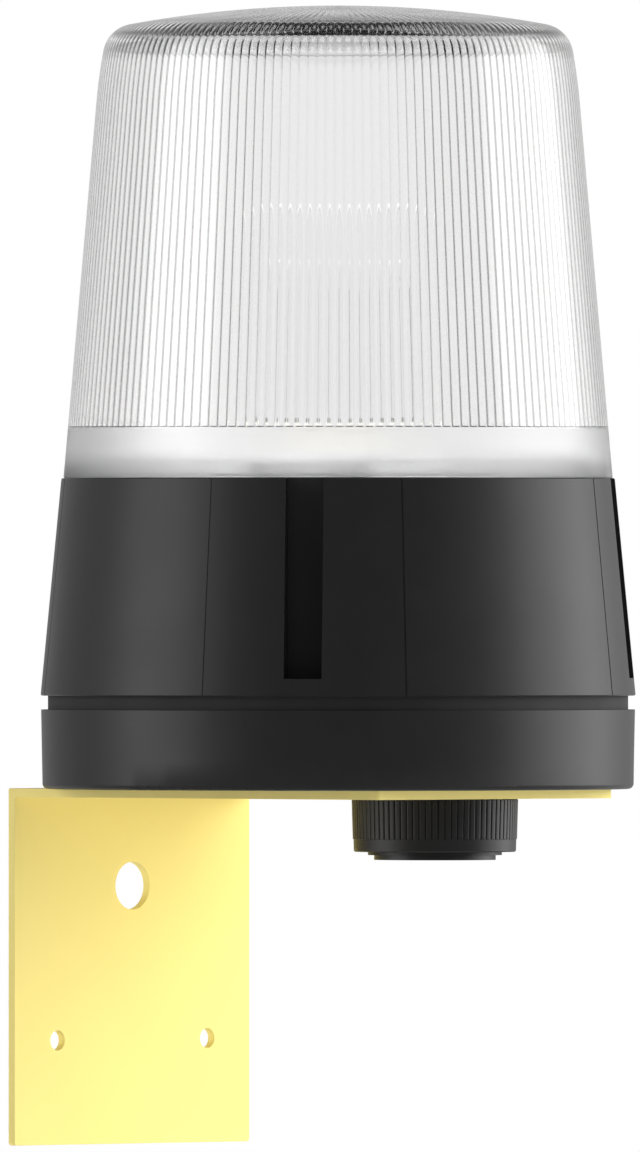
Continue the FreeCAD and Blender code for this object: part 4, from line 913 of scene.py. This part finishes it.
def make_knurled_ring():
    choice = sizes()
    tall = RING_HIGH.z - RING_LOW.z
    slope = RING_TAPER / tall
    skirt_top = tall - KNURL_LENGTH
    skirt = RING_RADIUS - RING_TAPER - choice.knurl_depth / 2
    crest = RING_RADIUS - slope * KNURL_LENGTH
    outline = [
        (NECK_FIT, 0), (skirt - EDGE, 0), (skirt, EDGE),
        (skirt + slope * skirt_top, skirt_top - KNURL_STEP, 0.0),
        (crest, skirt_top + KNURL_STEP, 1.0),
        (RING_RADIUS - slope * EDGE, tall - EDGE, 1.0),
        (RING_RADIUS - EDGE, tall, KNURL_RUN_OUT),
        (NECK_FIT, tall),
    ]
    ring = lathe("knurled_clamp_ring", outline, choice.knurl_count * COLUMNS_PER_KNURL,
                 BUZZER_AXIS + Vector((0, 0, RING_LOW.z)))
    flute(ring, choice.knurl_count, -choice.knurl_depth, BUZZER_AXIS.x, KNURL_POWER,
          KNURL_NARROWNESS, "black_plastic")
    smooth(ring, RING_SHARP_DEGREES)
    return finish_piece(ring, "base", "black_plastic", "knurled_ring")


# CAD nodes that stay

REPLACED = ("lens", "housing", "wall_bracket", "knurled_ring")


def dress_frame():
    """Finish each CAD node that no piece of the scene replaces."""
    for part in frame["record"]["subparts"]:
        if part["node"] not in REPLACED:
            dress_node(part["node"], part["material_slot"])


# Stage

LOOK = math.radians(45.0)
TO_CAMERA = Vector((math.sin(LOOK), -math.cos(LOOK), 0))
TO_RIGHT = Vector((math.cos(LOOK), math.sin(LOOK), 0))
AIM = Vector((63.3, -2.8, 102.25)) * MM
CAMERA_DISTANCE = 6.453
CAMERA_LENS = 920
CLIP_START = 0.1
CLIP_END = 1000
FLOOR_DROP = 60.0 * MM
FLOOR_RADIUS = 0.8
FLOOR_THICK = 2.0 * MM
FLOOR_COLUMNS = 96
# Light of the room by bearing: degrees to the right of the camera's side, and level.
ROOM = (
    (-180, 0.7), (-150, 0.7), (-110, 0.7), (-98, 2.0), (-88, 7.4), (-63, 7.4), (-53, 1.7), (-38, 0.4),
    (-10, 0.33), (30, 0.33), (56, 0.4), (70, 1.1), (81, 7.0), (119, 7.6), (132, 2.0), (152, 0.7),
    (180, 0.7),
)
ROOM_PEAK = 8.0
# The same by height: sine of the elevation, and share of the level.
HEIGHTS = ((-1.0, 0.5), (0.0, 1.0), (0.2, 1.0), (0.4, 0.85), (0.7, 0.3), (1.0, 0.3))
# What shows through the lens: its level from beside the backdrop to the backdrop, and its share by
# height. Light that has met a matt surface inside finds one even level.
BACKDROP = (math.cos(math.radians(75)), math.cos(math.radians(35)))
BESIDE_BACKDROP = 0.72
BACKDROP_LEVEL = 1.15
BACKDROP_HEIGHTS = (
    (-1.0, 0.2), (-0.6, 0.2), (-0.4, 1.6), (-0.15, 1.8), (-0.06, 1.0), (0.04, 1.0), (0.1, 0.9),
    (0.45, 0.9), (0.58, 0.05), (1.0, 0.02),
)
BACKDROP_PEAK = 2.0
INSIDE_LEVEL = 3.8
# Soft light on matt surfaces: where it rises from left to right, its levels, and its share by height.
SOFT_SPAN = (-0.3, 1.0)
SOFT_LEVELS = (0.03, 2.2)
SOFT_HEIGHTS = ((-1.0, 0.1), (-0.1, 0.8), (0.15, 1.0), (0.6, 0.9), (1.0, 0.7))
# The key light: degrees to the right of the camera and up, metres away, metres wide and high, watts.
KEY_BEARING = 95
KEY_ELEVATION = 22
KEY_DISTANCE = 1.2
KEY_SIZE = (0.7, 0.9)
KEY_WATTS = 9


def make_camera():
    data = bpy.data.cameras.new("camera")
    data.lens = CAMERA_LENS
    data.clip_start = CLIP_START
    data.clip_end = CLIP_END
    camera = link("camera", data)
    camera.location = AIM + TO_CAMERA * CAMERA_DISTANCE
    camera.rotation_euler = (-TO_CAMERA).to_track_quat("-Z", "Y").to_euler()
    bpy.context.scene.camera = camera


def make_floor():
    outline = [(0, -FLOOR_THICK), (FLOOR_RADIUS, -FLOOR_THICK), (FLOOR_RADIUS, 0), (0, 0)]
    centre = AXIS + Vector((0, 0, CAD_BOX[0][2] - FLOOR_DROP))
    floor = lathe("studio_floor", outline, FLOOR_COLUMNS, centre)
    material, nodes, links, shader = fresh_material("studio_floor")
    vary_colour(nodes, links, shader, tuple(colours().floor), 0.01, 4)
    vary_roughness(nodes, links, shader, 0.85, 0.95, 6)
    give(floor, material)


def make_room():
    """White behind the object, and a room that is bright at the sides and dark by the camera."""
    world = bpy.data.worlds.new("room")
    bpy.context.scene.world = world
    world.use_nodes = True
    nodes = world.node_tree.nodes
    links = world.node_tree.links
    nodes.clear()
    maths = maths_in(nodes, links)
    coordinates = nodes.new("ShaderNodeTexCoord")

    def along(direction):
        node = nodes.new("ShaderNodeVectorMath")
        node.operation = "DOT_PRODUCT"
        links.new(coordinates.outputs["Generated"], node.inputs[0])
        node.inputs[1].default_value = direction
        return node.outputs["Value"]

    def between(value, low, high, first, last):
        node = nodes.new("ShaderNodeMapRange")
        node.interpolation_type = "SMOOTHSTEP"
        for name, number in (("From Min", low), ("From Max", high), ("To Min", first), ("To Max", last)):
            node.inputs[name].default_value = number
        links.new(value, node.inputs["Value"])
        return node.outputs["Result"]

    def levels(value, stops, peak):
        node = nodes.new("ShaderNodeValToRGB")
        node.color_ramp.interpolation = "EASE"
        set_stops(node, [(spot, level / peak) for spot, level in stops])
        links.new(value, node.inputs["Fac"])
        return maths("MULTIPLY", node.outputs["Color"], peak)

    def by_height(stops):
        return [((sine + 1) / 2, share) for sine, share in stops]

    def light(strength):
        node = nodes.new("ShaderNodeBackground")
        links.new(strength, node.inputs["Strength"])
        return node.outputs[0]

    def choose(ray, otherwise, chosen):
        node = nodes.new("ShaderNodeMixShader")
        links.new(path.outputs[ray], node.inputs[0])
        links.new(otherwise, node.inputs[1])
        links.new(chosen, node.inputs[2])
        return node.outputs[0]

    path = nodes.new("ShaderNodeLightPath")
    bearing = maths("ARCTAN2", along(TO_RIGHT), along(TO_CAMERA))
    turn = maths("ADD", maths("DIVIDE", bearing, 2 * math.pi), 0.5)
    sides = levels(turn, [((degrees + 180) / 360, level) for degrees, level in ROOM], ROOM_PEAK)
    rise = maths("MULTIPLY_ADD", along((0, 0, 1)), 0.5, 0.5)
    room = maths("MULTIPLY", sides, levels(rise, by_height(HEIGHTS), 1.0))
    window = maths("MULTIPLY", between(along(-TO_CAMERA), *BACKDROP, BESIDE_BACKDROP, BACKDROP_LEVEL),
                   levels(rise, by_height(BACKDROP_HEIGHTS), BACKDROP_PEAK))
    inside = maths("MINIMUM", path.outputs["Diffuse Depth"], 1.0)
    through = maths("ADD", maths("MULTIPLY", window, maths("SUBTRACT", 1.0, inside)),
                    maths("MULTIPLY", inside, INSIDE_LEVEL))
    soft = maths("MULTIPLY", between(along(TO_RIGHT), *SOFT_SPAN, *SOFT_LEVELS),
                 levels(rise, by_height(SOFT_HEIGHTS), 1.0))
    white = nodes.new("ShaderNodeBackground")
    white.inputs["Color"].default_value = (1, 1, 1, 1)
    shown = choose("Is Diffuse Ray", light(room), light(soft))
    shown = choose("Is Transmission Ray", shown, light(through))
    shown = choose("Is Camera Ray", shown, white.outputs[0])
    leave = nodes.new("ShaderNodeOutputWorld")
    links.new(shown, leave.inputs["Surface"])


def make_key_light():
    """One softbox; it doesn't mirror in glossy or clear surfaces."""
    bearing = math.radians(KEY_BEARING)
    elevation = math.radians(KEY_ELEVATION)
    level = TO_CAMERA * math.cos(bearing) + TO_RIGHT * math.sin(bearing)
    direction = level * math.cos(elevation) + Vector((0, 0, math.sin(elevation)))
    data = bpy.data.lights.new("key_softbox", "AREA")
    data.shape = "RECTANGLE"
    data.size, data.size_y = KEY_SIZE
    data.energy = KEY_WATTS
    light = link("key_softbox", data)
    light.location = AIM + direction * KEY_DISTANCE
    light.rotation_euler = direction.to_track_quat("Z", "Y").to_euler()
    light.visible_glossy = False
    light.visible_transmission = False


def make_stage():
    make_camera()
    make_floor()
    make_room()
    make_key_light()
    bpy.context.scene.view_settings.view_transform = "Standard"


# Add-on

class BEACON_OT_lens(bpy.types.Operator):
    """Make the clear ribbed lens"""
    bl_idname = "beacon.lens"
    bl_label = "Lens"

    def execute(self, context):
        make_lens()
        return {"FINISHED"}


class BEACON_OT_housing(bpy.types.Operator):
    """Make the conical housing with its slots and seams"""
    bl_idname = "beacon.housing"
    bl_label = "Housing"

    def execute(self, context):
        make_housing()
        return {"FINISHED"}


class BEACON_OT_bracket(bpy.types.Operator):
    """Make the folded wall bracket with its holes"""
    bl_idname = "beacon.bracket"
    bl_label = "Bracket"

    def execute(self, context):
        make_bracket()
        return {"FINISHED"}


class BEACON_OT_ring(bpy.types.Operator):
    """Make the buzzer's knurled ring"""
    bl_idname = "beacon.ring"
    bl_label = "Knurled Ring"

    def execute(self, context):
        make_knurled_ring()
        return {"FINISHED"}


class BEACON_OT_frame(bpy.types.Operator):
    """Finish the CAD pieces that stay"""
    bl_idname = "beacon.frame"
    bl_label = "CAD Pieces"

    def execute(self, context):
        dress_frame()
        return {"FINISHED"}


class BEACON_OT_stage(bpy.types.Operator):
    """Set the camera, the floor and the light"""
    bl_idname = "beacon.stage"
    bl_label = "Stage"

    def execute(self, context):
        make_stage()
        return {"FINISHED"}


STEPS = ("frame", "bracket", "housing", "ring", "lens", "stage")


class BEACON_PT_panel(bpy.types.Panel):
    """Sizes, colours and steps of the beacon"""
    bl_idname = "BEACON_PT_panel"
    bl_label = "Strobe Beacon"
    bl_space_type = "VIEW_3D"
    bl_region_type = "UI"
    bl_category = "Beacon"

    def draw(self, context):
        for group in (context.scene.beacon_sizes, context.scene.beacon_colours):
            for name in group.__annotations__:
                self.layout.prop(group, name)
        for step in STEPS:
            self.layout.operator("beacon." + step)


CLASSES = (BeaconSizes, BeaconColours, BEACON_OT_lens, BEACON_OT_housing, BEACON_OT_bracket,
           BEACON_OT_ring, BEACON_OT_frame, BEACON_OT_stage, BEACON_PT_panel)


def register():
    for item in CLASSES:
        bpy.utils.register_class(item)
    bpy.types.Scene.beacon_sizes = bpy.props.PointerProperty(type=BeaconSizes)
    bpy.types.Scene.beacon_colours = bpy.props.PointerProperty(type=BeaconColours)


def unregister():
    del bpy.types.Scene.beacon_colours
    del bpy.types.Scene.beacon_sizes
    for item in reversed(CLASSES):
        bpy.utils.unregister_class(item)


def main():
    register()
    for step in STEPS:
        getattr(bpy.ops.beacon, step)()


if __name__ == "__main__":
    main()
